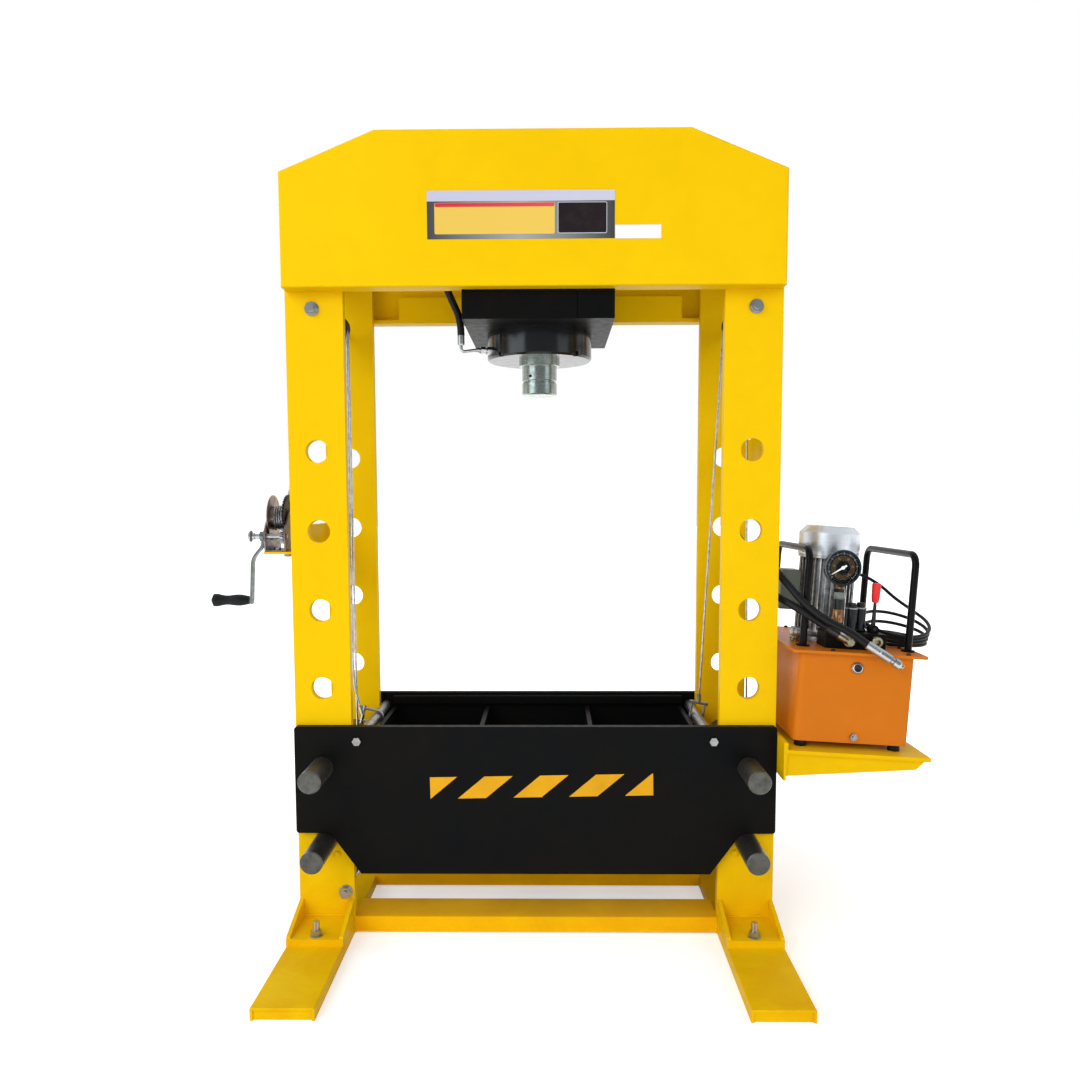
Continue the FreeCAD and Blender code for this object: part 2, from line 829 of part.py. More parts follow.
def make_bed_plate(label, back):
    """One side of the bed: a plate with ears that stand on the lower pins."""
    plate = body(label)
    inner = s.half_depth + s.bed_gap
    low, high = (inner, inner + s.bed_plate) if back else (-inner - s.bed_plate, -inner)
    outline = [
        (-s.bed_half_width, s.bed_top), (-s.bed_half_width, s.ear_bottom),
        (-s.ear_inner, s.ear_bottom), (-s.slope_foot, s.bed_bottom),
        (s.slope_foot, s.bed_bottom), (s.ear_inner, s.ear_bottom),
        (s.bed_half_width, s.ear_bottom), (s.bed_half_width, s.bed_top),
    ]
    pad(plate, "XZ_Plane", [outline], low, high)
    upper_pin = s.hole_top - s.hole_pitch * 4
    holes = [(side * s.hole_across, upper_pin, s.hole_diameter) for side in (-1, 1)]
    holes += [(side * s.tie_rod_across, s.tie_rod_height, s.axle_diameter) for side in (-1, 1)]
    cut(plate, "XZ_Plane", holes, low, high)
    dress(plate, "Fillet", s.bed_corner,
          lambda e: runs_along(e, 1) and abs(e.BoundBox.Center.x) > 600)
    return plate


def make_webs():
    """Cross webs and the two long ledges that join the bed plates."""
    webs = body("bed_webs")
    inner = s.half_depth + s.bed_gap
    features = []
    for place in (s.web_inner, s.web_outer):
        web = rectangle(-inner, inner, s.web_bottom, s.web_top)
        features.append(pad(webs, "YZ_Plane", [web], place - s.web_thickness / 2, place + s.web_thickness / 2))
    mirror(webs, features, "YZ_Plane")
    top = s.bed_top - s.ledge_drop
    reach = s.web_outer + s.web_thickness / 2
    ledge = pad(webs, "YZ_Plane", [rectangle(-inner, -inner + s.ledge_size, top - s.ledge_size, top)],
                -reach, reach)
    mirror(webs, [ledge], "XZ_Plane")
    return webs


def make_tie_rods():
    """Two round spacers across the bed, bolted through both plates."""
    rods = body("bed_tie_rods")
    inner = s.half_depth + s.bed_gap
    outer = inner + s.bed_plate
    features = []
    for side in (-1, 1):
        x = side * s.tie_rod_across
        z = s.tie_rod_height
        features.append(pad(rods, "XZ_Plane", [(x, z, s.tie_rod_diameter)], -inner, inner))
        features.append(pad(rods, "XZ_Plane", [(x, z, s.axle_diameter)], -outer, -inner))
        head = hexagon(x, z, s.tie_head_width)
        features.append(pad(rods, "XZ_Plane", [head], -outer - s.tie_head_height, -outer))
    mirror(rods, features, "XZ_Plane")
    return rods


def make_pins():
    """Four round pins: two lock the bed, two carry its ears; each lies in its holes."""
    pins = body("bed_pins")
    droop = (s.hole_diameter - s.pin_diameter) / 2 - 0.05
    for level in (4, 5):
        z = s.hole_top - s.hole_pitch * level - droop
        circles = [(side * s.hole_across, z, s.pin_diameter) for side in (-1, 1)]
        pad(pins, "XZ_Plane", circles, -s.pin_half_length, s.pin_half_length)
    dress(pins, "Chamfer", s.pin_chamfer, lambda e: e.Curve.TypeId == "Part::GeomCircle")
    return pins


make_bed_plate("bed_plate_front", False)
make_bed_plate("bed_plate_rear", True)
make_webs()
make_tie_rods()
make_pins()


# ---------------------------------------------------------------- hoist

def tangent_from(point, centre, radius, side):
    """Where a straight strand from a point meets a round pulley, in the XZ plane."""
    dx = centre[0] - point[0]
    dz = centre[1] - point[1]
    distance = math.hypot(dx, dz)
    bend = math.acos(radius / distance)
    base = math.atan2(-dz, -dx)
    angle = base + side * bend
    return centre[0] + radius * math.cos(angle), centre[1] + radius * math.sin(angle)


def arc_between(centre, radius, start, end, through, y):
    """Part of a circle in an upright plane, through a known direction in degrees."""
    middle = (centre[0] + radius * math.cos(math.radians(through)),
              centre[1] + radius * math.sin(math.radians(through)))
    three = [V(p[0], y, p[1]) for p in (start, middle, end)]
    return Part.Arc(*three).toShape()


def upright_line(start, end, y):
    """Straight strand between two points in an upright plane."""
    return Part.LineSegment(V(start[0], y, start[1]), V(end[0], y, end[1])).toShape()


def on_pulley(centre, radius, direction):
    """Point on a pulley's rope circle in a direction given in degrees."""
    angle = math.radians(direction)
    return centre[0] + radius * math.cos(angle), centre[1] + radius * math.sin(angle)


def rope_radius():
    """Radius of the rope's centre line on a pulley."""
    return float(s.pulley_radius)


SHACKLE_ARM = 39
SHACKLE_TURN = {-1: (-0.972, 0.233), 1: (0.17, 0.985)}
SOCKET_TURN = {-1: (-0.3, 0.954), 1: (0.05, 0.999)}
SOCKET_LENGTH = 24


def shackle_pin(side):
    """Middle of the shackle's pin: the slack left one droops outward, the taut right one stands."""
    across, lift = SHACKLE_TURN[side]
    return (side * float(s.tie_rod_across) + SHACKLE_ARM * across,
            float(s.tie_rod_height) + SHACKLE_ARM * lift)


def shackle_eye(side):
    """Where the rope enters its socket above the shackle's pin."""
    x, z = shackle_pin(side)
    across, lift = SOCKET_TURN[side]
    return x + SOCKET_LENGTH * across, z + SOCKET_LENGTH * lift


def strand_to_drum(offset, outer, y):
    """Straight strand from a pulley down to the back of the drum, just over its winding."""
    start = V(-float(s.winch_x) + offset, float(s.strand_y), float(s.winch_z) + 4)
    return Part.LineSegment(start, V(outer[0], y, outer[1])).toShape()


def make_rope_left():
    """Lifting rope: winch drum, over the left pulley, slack down to the left shackle."""
    y = float(s.left_rope_y)
    centre = (-float(s.axle_across), float(s.axle_height))
    radius = rope_radius()
    outer = tangent_from((-float(s.winch_x) - 4.5, float(s.winch_z) + 4), centre, radius, -1)
    inner = (centre[0] + radius, centre[1])
    slack = [(-523, 900), (-524, 760), (-523, 668), (-520, 614), (-512, 579), shackle_eye(-1)]
    lower, radii = fillet_route([(inner[0], y, inner[1])] + [(x, y, z) for x, z in slack])
    edges = [strand_to_drum(-4.5, outer, y), arc_between(centre, radius, outer, inner, 90, y)]
    wire = Part.Wire(edges + lower.OrderedEdges)
    report_tube("rope_left", wire, s.rope_diameter, radii)
    return solid_feature("rope_left", sweep_tube(wire, s.rope_diameter))


def make_rope_right():
    """Lifting rope: drum, over the left pulley, down, under the bed, up and over to the right."""
    y = float(s.right_rope_y)
    radius = rope_radius()
    left = (-float(s.axle_across), float(s.axle_height))
    right = (float(s.axle_across), float(s.axle_height))
    low_left = (-float(s.low_axle_left), float(s.low_axle_height))
    low_right = (float(s.low_axle_right), float(s.low_axle_height))
    drum = (-float(s.winch_x) + 2.5, float(s.winch_z) + 4)
    eye = shackle_eye(1)
    outer = tangent_from(drum, left, radius, -1)
    small = float(s.low_pulley_radius)
    lean = math.degrees(math.atan2(low_left[0] - left[0] - radius - small, left[1] - low_left[1]))
    turn_in = on_pulley(left, radius, lean)
    turn_low = on_pulley(low_left, small, 180 + lean)
    run_right = right[0] + radius - low_right[0] - small
    lean_right = math.degrees(math.atan2(run_right, right[1] - low_right[1]))
    up_low = on_pulley(low_right, small, -lean_right)
    up_top = on_pulley(right, radius, -lean_right)
    down = tangent_from(eye, right, radius, -1)
    low_left_foot = (low_left[0], low_left[1] - small)
    low_right_foot = (low_right[0], low_right[1] - small)
    edges = [
        strand_to_drum(2.5, outer, y),
        arc_between(left, radius, outer, turn_in, 90, y),
        upright_line(turn_in, turn_low, y),
        arc_between(low_left, small, turn_low, low_left_foot, -135, y),
        upright_line(low_left_foot, low_right_foot, y),
        arc_between(low_right, small, low_right_foot, up_low, -45, y),
        upright_line(up_low, up_top, y),
        arc_between(right, radius, up_top, down, 90, y),
        upright_line(down, eye, y),
    ]
    wire = Part.Wire(edges)
    report_tube("rope_right", wire, s.rope_diameter, [])
    return solid_feature("rope_right", sweep_tube(wire, s.rope_diameter))


def make_pulley(label, x, y, z, radius, rim, grooves=(0,)):
    """Rope wheel with one groove or two, turning on an axle that runs front to back."""
    half = s.pulley_width / 2
    seat = radius - s.rope_diameter / 2 - s.rope_gap
    hub = s.axle_diameter / 2 + 0.1
    wheel = body(label, Placement(V(float(x), float(y), float(z)), Rotation(V(1, 0, 0), 90)))
    profile = [(hub, -half + grooves[0])]
    for middle in grooves:
        profile += [
            (rim, -half + middle), (rim, -half + middle + 3), (seat, middle - 3.5),
            (seat, middle + 3.5), (rim, half + middle - 3), (rim, half + middle),
        ]
    turn(wheel, profile + [(hub, half + grooves[-1])])
    return wheel


def make_axles():
    """Rope axles across the columns, with nuts on the outer faces of the bars."""
    axles = body("pulley_axles")
    places = [(-s.axle_across, s.axle_height), (s.axle_across, s.axle_height),
              (-s.low_axle_left, s.low_axle_height)]
    outer = s.half_depth
    inner = outer - s.bar_thickness
    pad(axles, "XZ_Plane", [(s.low_axle_right, s.low_axle_height, s.axle_diameter)], -inner, inner)
    features = [pad(axles, "XZ_Plane", [(x, z, s.axle_diameter) for x, z in places], -outer - 22, outer + 22)]
    washers = [(x, z, s.axle_diameter * 2) for x, z in places]
    features.append(pad(axles, "XZ_Plane", washers, -outer - 3, -outer))
    nuts = [hexagon(x, z, s.axle_diameter * 1.5) for x, z in places]
    features.append(pad(axles, "XZ_Plane", nuts, -outer - 16, -outer - 3))
    mirror(axles, features[1:], "XZ_Plane")
    return axles


def make_shackles():
    """Bow shackles round the tie rods, each with a rope socket at its top."""
    solids = []
    for side in (-1, 1):
        y = float(s.left_rope_y) if side < 0 else float(s.right_rope_y)
        rod = V(side * float(s.tie_rod_across), y, float(s.tie_rod_height))
        turn_x, turn_z = SHACKLE_TURN[side]
        lift = V(turn_x, 0, turn_z).normalize()
        across = lift.cross(V(0, 1, 0)).normalize()
        reach = float(s.tie_rod_diameter) / 2 + 4.3
        near = rod + across * reach
        far = rod - across * reach
        arm = lift * SHACKLE_ARM
        bow = Part.Wire([
            Part.LineSegment(near + arm, near).toShape(),
            Part.Arc(near, rod - lift * reach, far).toShape(),
            Part.LineSegment(far, far + arm).toShape(),
        ])
        bow_solid = sweep_tube(bow, 8)
        pin = Part.makeCylinder(5, 2 * reach + 16, rod + arm - across * (reach + 8), across)
        hang_x, hang_z = SOCKET_TURN[side]
        socket = Part.makeCylinder(6.5, SOCKET_LENGTH, rod + arm, V(hang_x, 0, hang_z))
        solids.append(bow_solid.fuse(pin).fuse(socket))
    return solid_feature("rope_shackles", Part.makeCompound(solids))


make_rope_left()
make_rope_right()
middle_y = (s.left_rope_y + s.right_rope_y) / 2
half_step = float(s.right_rope_y - s.left_rope_y) / 2
top_wheel = (s.pulley_radius, s.pulley_rim)
low_wheel = (s.low_pulley_radius, s.low_pulley_rim)
make_pulley("pulley_top_left", -s.axle_across, middle_y, s.axle_height, *top_wheel, (-half_step, half_step))
make_pulley("pulley_top_right", s.axle_across, s.right_rope_y, s.axle_height, *top_wheel)
make_pulley("pulley_low_left", -s.low_axle_left, s.right_rope_y, s.low_axle_height, *low_wheel)
make_pulley("pulley_low_right", s.low_axle_right, s.right_rope_y, s.low_axle_height, *low_wheel)
make_axles()
make_shackles()


# ---------------------------------------------------------------- winch

WINCH_TURN = Rotation(V(0, 1, 0), 90)


def winch_centre():
    """Middle of the drum."""
    return V(-float(s.winch_x), 0, float(s.winch_z))


def shaft_offset():
    """How far the crank shaft is in front of the drum's axle."""
    spacing = float(s.gear_module) * float(s.gear_teeth + s.pinion_teeth) / 2
    return math.sqrt(spacing ** 2 - float(s.shaft_drop) ** 2)


def make_winch_shelf():
    """Bracket plate outside the left column, with two small gussets under it."""
    shelf = body("winch_shelf")
    bottom = s.shelf_top - s.shelf_plate
    outline = rectangle(-s.half_width - s.shelf_out, -s.half_width, -s.shelf_half_depth, s.shelf_half_depth)
    pad(shelf, "XY_Plane", [outline], bottom, s.shelf_top)
    gusset = [(-s.half_width, bottom), (-s.half_width - 26, bottom), (-s.half_width, bottom - 26)]
    for y in (-60, 54):
        pad(shelf, "XZ_Plane", [gusset], y, y + 6)
    return shelf


def make_winch_frame():
    """Folded winch frame: a base and two upright cheeks that carry the axle and the shaft."""
    frame = body("winch_frame")
    half = s.cheek_half_width
    base_top = s.shelf_top + s.cheek_plate
    base = rectangle(-s.winch_x - half, -s.winch_x + half, -s.frame_half_length, s.frame_half_length)
    pad(frame, "XY_Plane", [base], s.shelf_top, base_top)
    length = s.frame_half_length
    cheek = [
        (-length, s.shelf_top), (length, s.shelf_top), (length, s.shelf_top + 34),
        (22, s.winch_z + 20), (-22, s.winch_z + 20), (-length - 6, s.shelf_top + 56),
        (-length - 6, s.shelf_top + 30),
    ]
    pad(frame, "YZ_Plane", [cheek], -s.winch_x - half, -s.winch_x - half + s.cheek_plate)
    pad(frame, "YZ_Plane", [cheek], -s.winch_x + half - s.cheek_plate, -s.winch_x + half)
    dress(frame, "Fillet", 8, lambda e: runs_along(e, 0) and e.BoundBox.ZMin > float(s.shelf_top) + 20)
    bores = [(0, s.winch_z, s.axle_bore), (-shaft_offset(), s.winch_z - s.shaft_drop, s.shaft_bore)]
    cut(frame, "YZ_Plane", bores, -s.winch_x - half, -s.winch_x + half)
    return frame


def make_drum():
    """Winch drum turned with its axle and the large plain disc at its left end."""
    drum = body("winch_drum", Placement(winch_centre(), WINCH_TURN))
    axle = (s.axle_bore - 0.1) / 2
    end = s.cheek_half_width + 6
    turn(drum, [
        (0, -end), (axle, -end), (axle, s.drum_left), (s.drum_flange, s.drum_left),
        (s.drum_flange, s.drum_left + 3), (s.drum_core, s.drum_left + 3), (s.drum_core, s.drum_right),
        (axle, s.drum_right), (axle, end), (0, end),
    ])
    dress(drum, "Chamfer", 1, lambda e: e.Curve.TypeId == "Part::GeomCircle" and e.Curve.Radius > 60)
    return drum


def make_winding():
    """Rope wound on the drum in close turns."""
    radius = float(s.drum_core) + float(s.rope_diameter) / 2
    loops = 4
    first = -17.6
    pitch = 6.6
    edges = []
    for quarter in range(loops * 4 + 2):
        three = []
        for part in (0, 0.5, 1):
            angle = (quarter + part) * math.pi / 2
            height = first + pitch * (quarter + part) / 4
            three.append(V(radius * math.cos(angle), radius * math.sin(angle), height))
        edges.append(Part.Arc(*three).toShape())
    wire = Part.Wire(edges)
    print(f"drum_winding: least gap between turns {pitch - float(s.rope_diameter):.2f}")
    shape = sweep_tube(wire, s.rope_diameter)
    return solid_feature("drum_winding", shape, Placement(winch_centre(), WINCH_TURN))


def gear_outline(teeth, module, tooth_angle, slack):
    """Tooth outline of a spur gear: two straight stretches for each involute flank."""
    pitch = module * teeth / 2
    base = pitch * math.cos(math.radians(20))
    root = pitch - 1.15 * module
    tip = pitch + 0.85 * module

    def flank_angle(radius):
        if radius <= base:
            return half_tooth + involute(pitch / base)
        return half_tooth + involute(pitch / base) - involute(radius / base)

    def involute(ratio):
        roll = math.sqrt(ratio ** 2 - 1)
        return roll - math.atan(roll)

    half_tooth = math.pi / (2 * teeth) - slack / (2 * pitch)
    points = []
    for tooth in range(teeth):
        middle = math.radians(tooth_angle) + 2 * math.pi * tooth / teeth
        flank = [(root, flank_angle(root)), (pitch, flank_angle(pitch)), (tip, flank_angle(tip))]
        for radius, angle in flank:
            points.append((radius, middle - angle))
        for radius, angle in reversed(flank):
            points.append((radius, middle + angle))
    return [V(r * math.cos(a), r * math.sin(a), 0) for r, a in points]


def gear_solid(teeth, tooth_angle, width):
    """Toothed disc about Z, standing on the XY plane."""
    corners = gear_outline(int(float(teeth)), float(s.gear_module), tooth_angle, 0.35)
    face = Part.Face(Part.makePolygon(corners + [corners[0]]))
    return face.extrude(V(0, 0, float(width)))


def mesh_angle():
    """Direction from the drum's axle to the shaft, in the turned frame of the winch."""
    # the winch frame's X points down and its Y points back
    return math.degrees(math.atan2(-shaft_offset(), float(s.shaft_drop)))


def make_drum_gear():
    """Large gear keyed on the drum's axle, between the drum and the right cheek."""
    teeth = s.gear_teeth
    shape = gear_solid(teeth, mesh_angle() + 180 / float(teeth), s.gear_width)
    lightening = []
    for k in range(6):
        angle = math.radians(60 * k)
        lightening.append(Part.makeCylinder(7, float(s.gear_width), V(38 * math.cos(angle), 38 * math.sin(angle), 0)))
    bore = Part.makeCylinder((float(s.axle_bore) - 0.1) / 2, float(s.gear_width))
    shape = shape.cut(Part.makeCompound(lightening + [bore]))
    place = Placement(winch_centre() + V(float(s.drum_right), 0, 0), WINCH_TURN)
    return solid_feature("drum_gear", shape, place)


def shaft_centre():
    """Point on the crank shaft's axis level with the middle of the drum."""
    return winch_centre() + V(0, -shaft_offset(), -float(s.shaft_drop))


def make_crank_shaft():
    """Crank shaft with its pinion and the round lock nut on its end."""
    radius = (float(s.shaft_bore) - 0.1) / 2
    rod = Part.makeCylinder(radius, 102, V(0, 0, -70))
    pinion = gear_solid(s.pinion_teeth, mesh_angle() + 180, s.pinion_width)
    pinion.translate(V(0, 0, float(s.drum_right) - 1.5))
    nut = turned_solid([(0, -72), (13, -72), (16, -69), (16, -66), (9, -62), (9, -57), (0, -57)])
    shape = rod.fuse(pinion).fuse(nut).removeSplitter()
    return solid_feature("crank_shaft", shape, Placement(shaft_centre(), WINCH_TURN))


def make_crank_arm():
    """Cranked flat bar from the shaft down to the grip, with the grip's spindle."""
    centre = shaft_centre()
    length = float(s.crank_length)
    out = [(-34, 0), (-34.6, -26), (-64, -60), (-70, -length - 10)]
    route = [tuple(centre + V(x, 0, z)) for x, z in out]
    wire, radii = fillet_route(route, 0.4)
    first = V(*route[0])
    wide = float(s.crank_bar_width) / 2
    thin = float(s.crank_bar) / 2
    across = (V(*route[1]) - first).normalize().cross(V(0, 1, 0))
    corners = [first + across * a * thin + V(0, b * wide, 0) for a, b in ((-1, -1), (1, -1), (1, 1), (-1, 1))]
    bar = wire.makePipeShell([Part.makePolygon(corners + [corners[0]])], True, False)
    hub = Part.makeCylinder(13, 10, centre + V(-31.5, 0, 0), V(-1, 0, 0))
    spindle = Part.makeCylinder(5, 110, centre + V(-69, 0, -length), V(-1, 0, 0))
    end_cap = Part.makeCylinder(8, 3, centre + V(-176, 0, -length), V(-1, 0, 0))
    shape = bar.fuse(hub).fuse(spindle).fuse(end_cap)
    shaft = Part.makeCylinder((float(s.shaft_bore) - 0.1) / 2, 40, centre + V(-24, 0, 0), V(-1, 0, 0))
    return solid_feature("crank_arm", shape.cut(shaft).removeSplitter())


def make_grip():
    """Moulded hand grip with finger waves, loose on its spindle."""
    bore = 5.1
    length = float(s.grip_length)
    widths = [11.5, 13.5, 15.5, 15.5, 14.5, 13, 13, 15, 17.5, 17.5]
    contour = [(w, length * i / (len(widths) - 1)) for i, w in enumerate(widths)]
    grip = body("crank_grip", Placement(shaft_centre() + V(-78, 0, -float(s.crank_length)),
                                        Rotation(V(0, 1, 0), -90)))
    turn(grip, [(bore, 0)] + contour + [(bore, length)])
    dress(grip, "Fillet", 2, lambda e: e.Curve.TypeId == "Part::GeomCircle" and e.Curve.Radius > 15)
    return grip


make_winch_shelf()
make_winch_frame()
make_drum()
make_winding()
make_drum_gear()
make_crank_shaft()
make_crank_arm()
make_grip()


# ---------------------------------------------------------------- power pack

def pack_place(u=0.0, y=0.0, w=0.0, rotation=None):
    """Placement inside the power pack's own frame, which sags with its shelf."""
    frame = Placement(V(float(s.pack_x), 0, float(s.pack_z)), Rotation(V(0, 1, 0), float(s.pack_sag)))
    return frame.multiply(Placement(V(float(u), float(y), float(w)), rotation or Rotation()))


def make_pack_shelf():
    """Bracket shelf: upright end plate, sagging top plate and a tapered gusset on each side."""
    shelf = body("pack_shelf", pack_place())
    sag = math.radians(float(s.pack_sag))
    high = 18
    low = -78
    gap = float(s.pack_x) - float(s.half_width)

    def column_face(w):
        return -gap / math.cos(sag) - w * math.tan(sag)

    profile = [
        (column_face(high), high), (0, high), (0, 0), (s.pack_shelf_length, 0),
        (s.pack_shelf_length, -s.pack_plate), (0, -s.pack_plate), (0, low), (column_face(low), low),
    ]
    pad(shelf, "XZ_Plane", [profile], -s.pack_front, s.pack_back)
    under = -s.pack_plate
    gusset = [
        (0, under), (s.pack_gusset_length + 22, under), (s.pack_gusset_length, -s.pack_gusset_tip),
        (0, -s.pack_gusset_root),
    ]
    pad(shelf, "XZ_Plane", [gusset], -s.pack_front + 7, -s.pack_front + 15)
    pad(shelf, "XZ_Plane", [gusset], s.pack_back - 15, s.pack_back - 7)
    return shelf


def make_tank():
    """Oil tank of folded sheet with round corners, open under its lid."""
    tank = body("oil_tank", pack_place())
    outer = rectangle(s.tank_left, s.tank_right, -s.tank_front, s.tank_back)
    pad(tank, "XY_Plane", [outer], s.tank_base, s.tank_top)
    wall = s.tank_wall
    inner = rectangle(s.tank_left + wall, s.tank_right - wall, -s.tank_front + wall, s.tank_back - wall)
    cut(tank, "XY_Plane", [inner], s.tank_base + wall, s.tank_top)
    sides = (float(s.tank_left), float(s.tank_right))
    outside = lambda e: min(abs(e.Vertexes[0].X - x) for x in sides) < 0.1
    dress(tank, "Fillet", s.tank_corner - wall, lambda e: runs_along(e, 2) and not outside(e))
    dress(tank, "Fillet", s.tank_corner, lambda e: runs_along(e, 2) and outside(e))
    return tank


def make_lid():
    """Lid plate that overhangs the tank and carries the motor and the valve."""
    lid = body("tank_lid", pack_place())
    outline = rectangle(-s.lid_left, s.lid_right, -s.lid_front, s.lid_back)
    pad(lid, "XY_Plane", [outline], s.tank_top, s.tank_top + s.lid_plate)
    dress(lid, "Fillet", 9, lambda e: runs_along(e, 2))
    return lid


def make_tank_feet():
    """Four rubber feet between the tank and the shelf."""
    feet = body("tank_feet", pack_place())
    places = [(u, y, 30) for u in (46, 284) for y in (-228, 148)]
    pad(feet, "XY_Plane", places, 0, s.tank_base)
    return feet


ELBOW = (148, -236, 272)
ELBOW_MOUTH = (118, -234, 289)


def make_fittings():
    """Plated fittings: sight glass, drain plug, filler breather and two port couplers."""
    front = -float(s.tank_front)
    toward = (0, -1, 0)
    lid = float(s.tank_top) + float(s.lid_plate)
    sight = turned_solid([(0, 0), (14, 0), (14, 5), (12, 8), (9, 8), (9, 5), (0, 5)])
    sight.Placement = along((165, front, 211), toward)
    drain = hex_bar(17, 0, 7).fuse(turned_solid([(0, 7), (5, 7), (5, 10), (0, 10)]))
    drain.Placement = along((170, front, 34), toward)
    breather = turned_solid([
        (0, 0), (15, 0), (15, 6), (12, 9), (12, 14), (18, 17), (18, 34), (15, 38), (0, 38),
    ])
    breather.Placement = along((47, -112, lid), (0, 0, 1))
    valve = -float(s.valve_front)
    coupler = [(0, 0), (9, 0), (9, 6), (14, 8), (14, 22), (12, 24), (8, 24), (8, 14), (0, 14)]
    left = turned_solid([(0, 0), (9, 0), (9, 6), (14, 8), (14, 20), (12, 22), (9, 22), (9, 38), (0, 38)])
    left.Placement = along((ELBOW[0], valve, ELBOW[2]), toward)
    bend = V(*ELBOW_MOUTH) - V(*ELBOW)
    arm = turned_solid([(0, -9), (9, -9), (9, 12), (11, 14), (11, bend.Length), (0, bend.Length)])
    arm.Placement = along(ELBOW, tuple(bend))
    left = left.fuse(arm).removeSplitter()
    right = turned_solid(coupler)
    right.Placement = along((220, valve, 274), toward)
    shape = Part.makeCompound([sight, drain, breather, left, right])
    return solid_feature("pack_fittings", shape, pack_place())


def make_hoops():
    """Two bent tube hoops that guard the pack, on round foot plates."""
    lid = float(s.tank_top) + float(s.lid_plate)
    top = float(s.hoop_top)
    front = -float(s.hoop_front)
    bend = float(s.hoop_bend)
    solids = []
    for u, back in ((float(s.hoop_left), float(s.hoop_back)), (float(s.hoop_right), float(s.hoop_back_right))):
        corners = [(front, lid), (front, top - bend), (front + bend, top), (back - bend, top),
                   (back, top - bend), (back, lid)]
        a, b, c, d, e, f = [V(u, y, w) for y, w in corners]
        slant = bend * (1 - math.sqrt(0.5))
        front_mid = V(u, front + slant, top - slant)
        back_mid = V(u, back - slant, top - slant)
        wire = Part.Wire([
            Part.LineSegment(a, b).toShape(), Part.Arc(b, front_mid, c).toShape(),
            Part.LineSegment(c, d).toShape(), Part.Arc(d, back_mid, e).toShape(),
            Part.LineSegment(e, f).toShape(),
        ])
        tube = sweep_tube(wire, s.hoop_tube)
        for y in (front, back):
            tube = tube.fuse(Part.makeCylinder(17, 4, V(u, y, lid)))
        solids.append(tube)
    return solid_feature("carry_hoops", Part.makeCompound(solids), pack_place())


def motor_place():
    """The motor's axis in the pack's frame."""
    return pack_place(s.motor_u, -s.motor_y, 0)


def make_motor():
    """Motor frame: mounting flange, round core with upright fins, and the seat for the cowl."""
    motor = body("motor_body", motor_place())
    lid = s.tank_top + s.lid_plate
    core = s.motor_body / 2
    seat = s.cowl_diameter / 2 - s.cowl_wall
    shaft = 8.1
    turn(motor, [
        (0, lid), (s.motor_flange / 2, lid), (s.motor_flange / 2, lid + 13), (core - 4, lid + 13),
        (core, s.body_bottom), (core, s.body_top - 10), (seat, s.body_top - 10),
        (seat, s.body_top), (shaft, s.body_top), (shaft, s.body_top - 16), (0, s.body_top - 16),
    ])
    half = s.fin_thickness / 2
    fin = rectangle(core - 2, s.fin_reach, -half, half)
    first = pad(motor, "XY_Plane", [fin], s.body_bottom + 6, s.body_top - 12)
    ring(motor, [first], "Z_Axis", float(s.fin_count))
    return motor


def make_cowl():
    """Fan cowl: a thin pressed cap with a ring of air slots in its top."""
    cowl = body("fan_cowl", motor_place())
    outer = s.cowl_diameter / 2
    wall = s.cowl_wall
    shoulder = s.cowl_top - s.cowl_slope
    turn(cowl, [
        (outer - wall, s.cowl_bottom), (outer, s.cowl_bottom), (outer, shoulder),
        (outer - s.cowl_slope, s.cowl_top), (0, s.cowl_top), (0, s.cowl_top - wall),
        (outer - s.cowl_slope - 1, s.cowl_top - wall), (outer - wall, shoulder - 1),
    ])
    slot = cut(cowl, "XY_Plane", [rectangle(22, 56, -3, 3)], s.cowl_top - wall, s.cowl_top)
    ring(cowl, [slot], "Z_Axis", 16)
    return cowl


def make_fan():
    """Cooling fan on the end of the motor shaft: back disc, hub and straight blades."""
    fan = body("motor_fan", motor_place())
    base = s.body_top + 12
    turn(fan, [
        (0, s.body_top - 15), (8, s.body_top - 15), (8, base), (68, base), (68, base + 3),
        (20, base + 3), (20, base + 32), (0, base + 32),
    ])
    blade = pad(fan, "XY_Plane", [rectangle(18, 67, -1.2, 1.2)], base + 2, base + 30)
    ring(fan, [blade], "Z_Axis", 8)
    return fan


def make_terminal_box():
    """Terminal box on the left of the motor, with a cable gland at its back."""
    box = body("terminal_box", pack_place())
    right = s.motor_u - s.fin_reach
    middle = 23 - s.motor_y
    outline = rectangle(right - 52, right, middle - 36, middle + 36)
    pad(box, "XY_Plane", [outline], 328, 436)
    dress(box, "Fillet", 4, lambda e: e.BoundBox.XMax < float(right) - 5 or runs_along(e, 0))
    lid_line = rectangle(middle - 37, middle + 37, 327, 437)
    inner = rectangle(middle - 35.2, middle + 35.2, 328.8, 435.2)
    cut(box, "YZ_Plane", [lid_line, inner], right - 38, right - 36.8)
    gland = [(right - 18, 352, 16), (right - 18, 352, s.lead_diameter + 0.4)]
    pad(box, "XZ_Plane", gland, middle + 36, middle + 48)
    return box


def gauge_place():
    """Centre of the gauge's back; its axis points to the front and its Y axis points up."""
    back = -float(s.gauge_front) + float(s.gauge_depth)
    return pack_place(s.gauge_u, back, s.gauge_w, Rotation(V(1, 0, 0), 90))


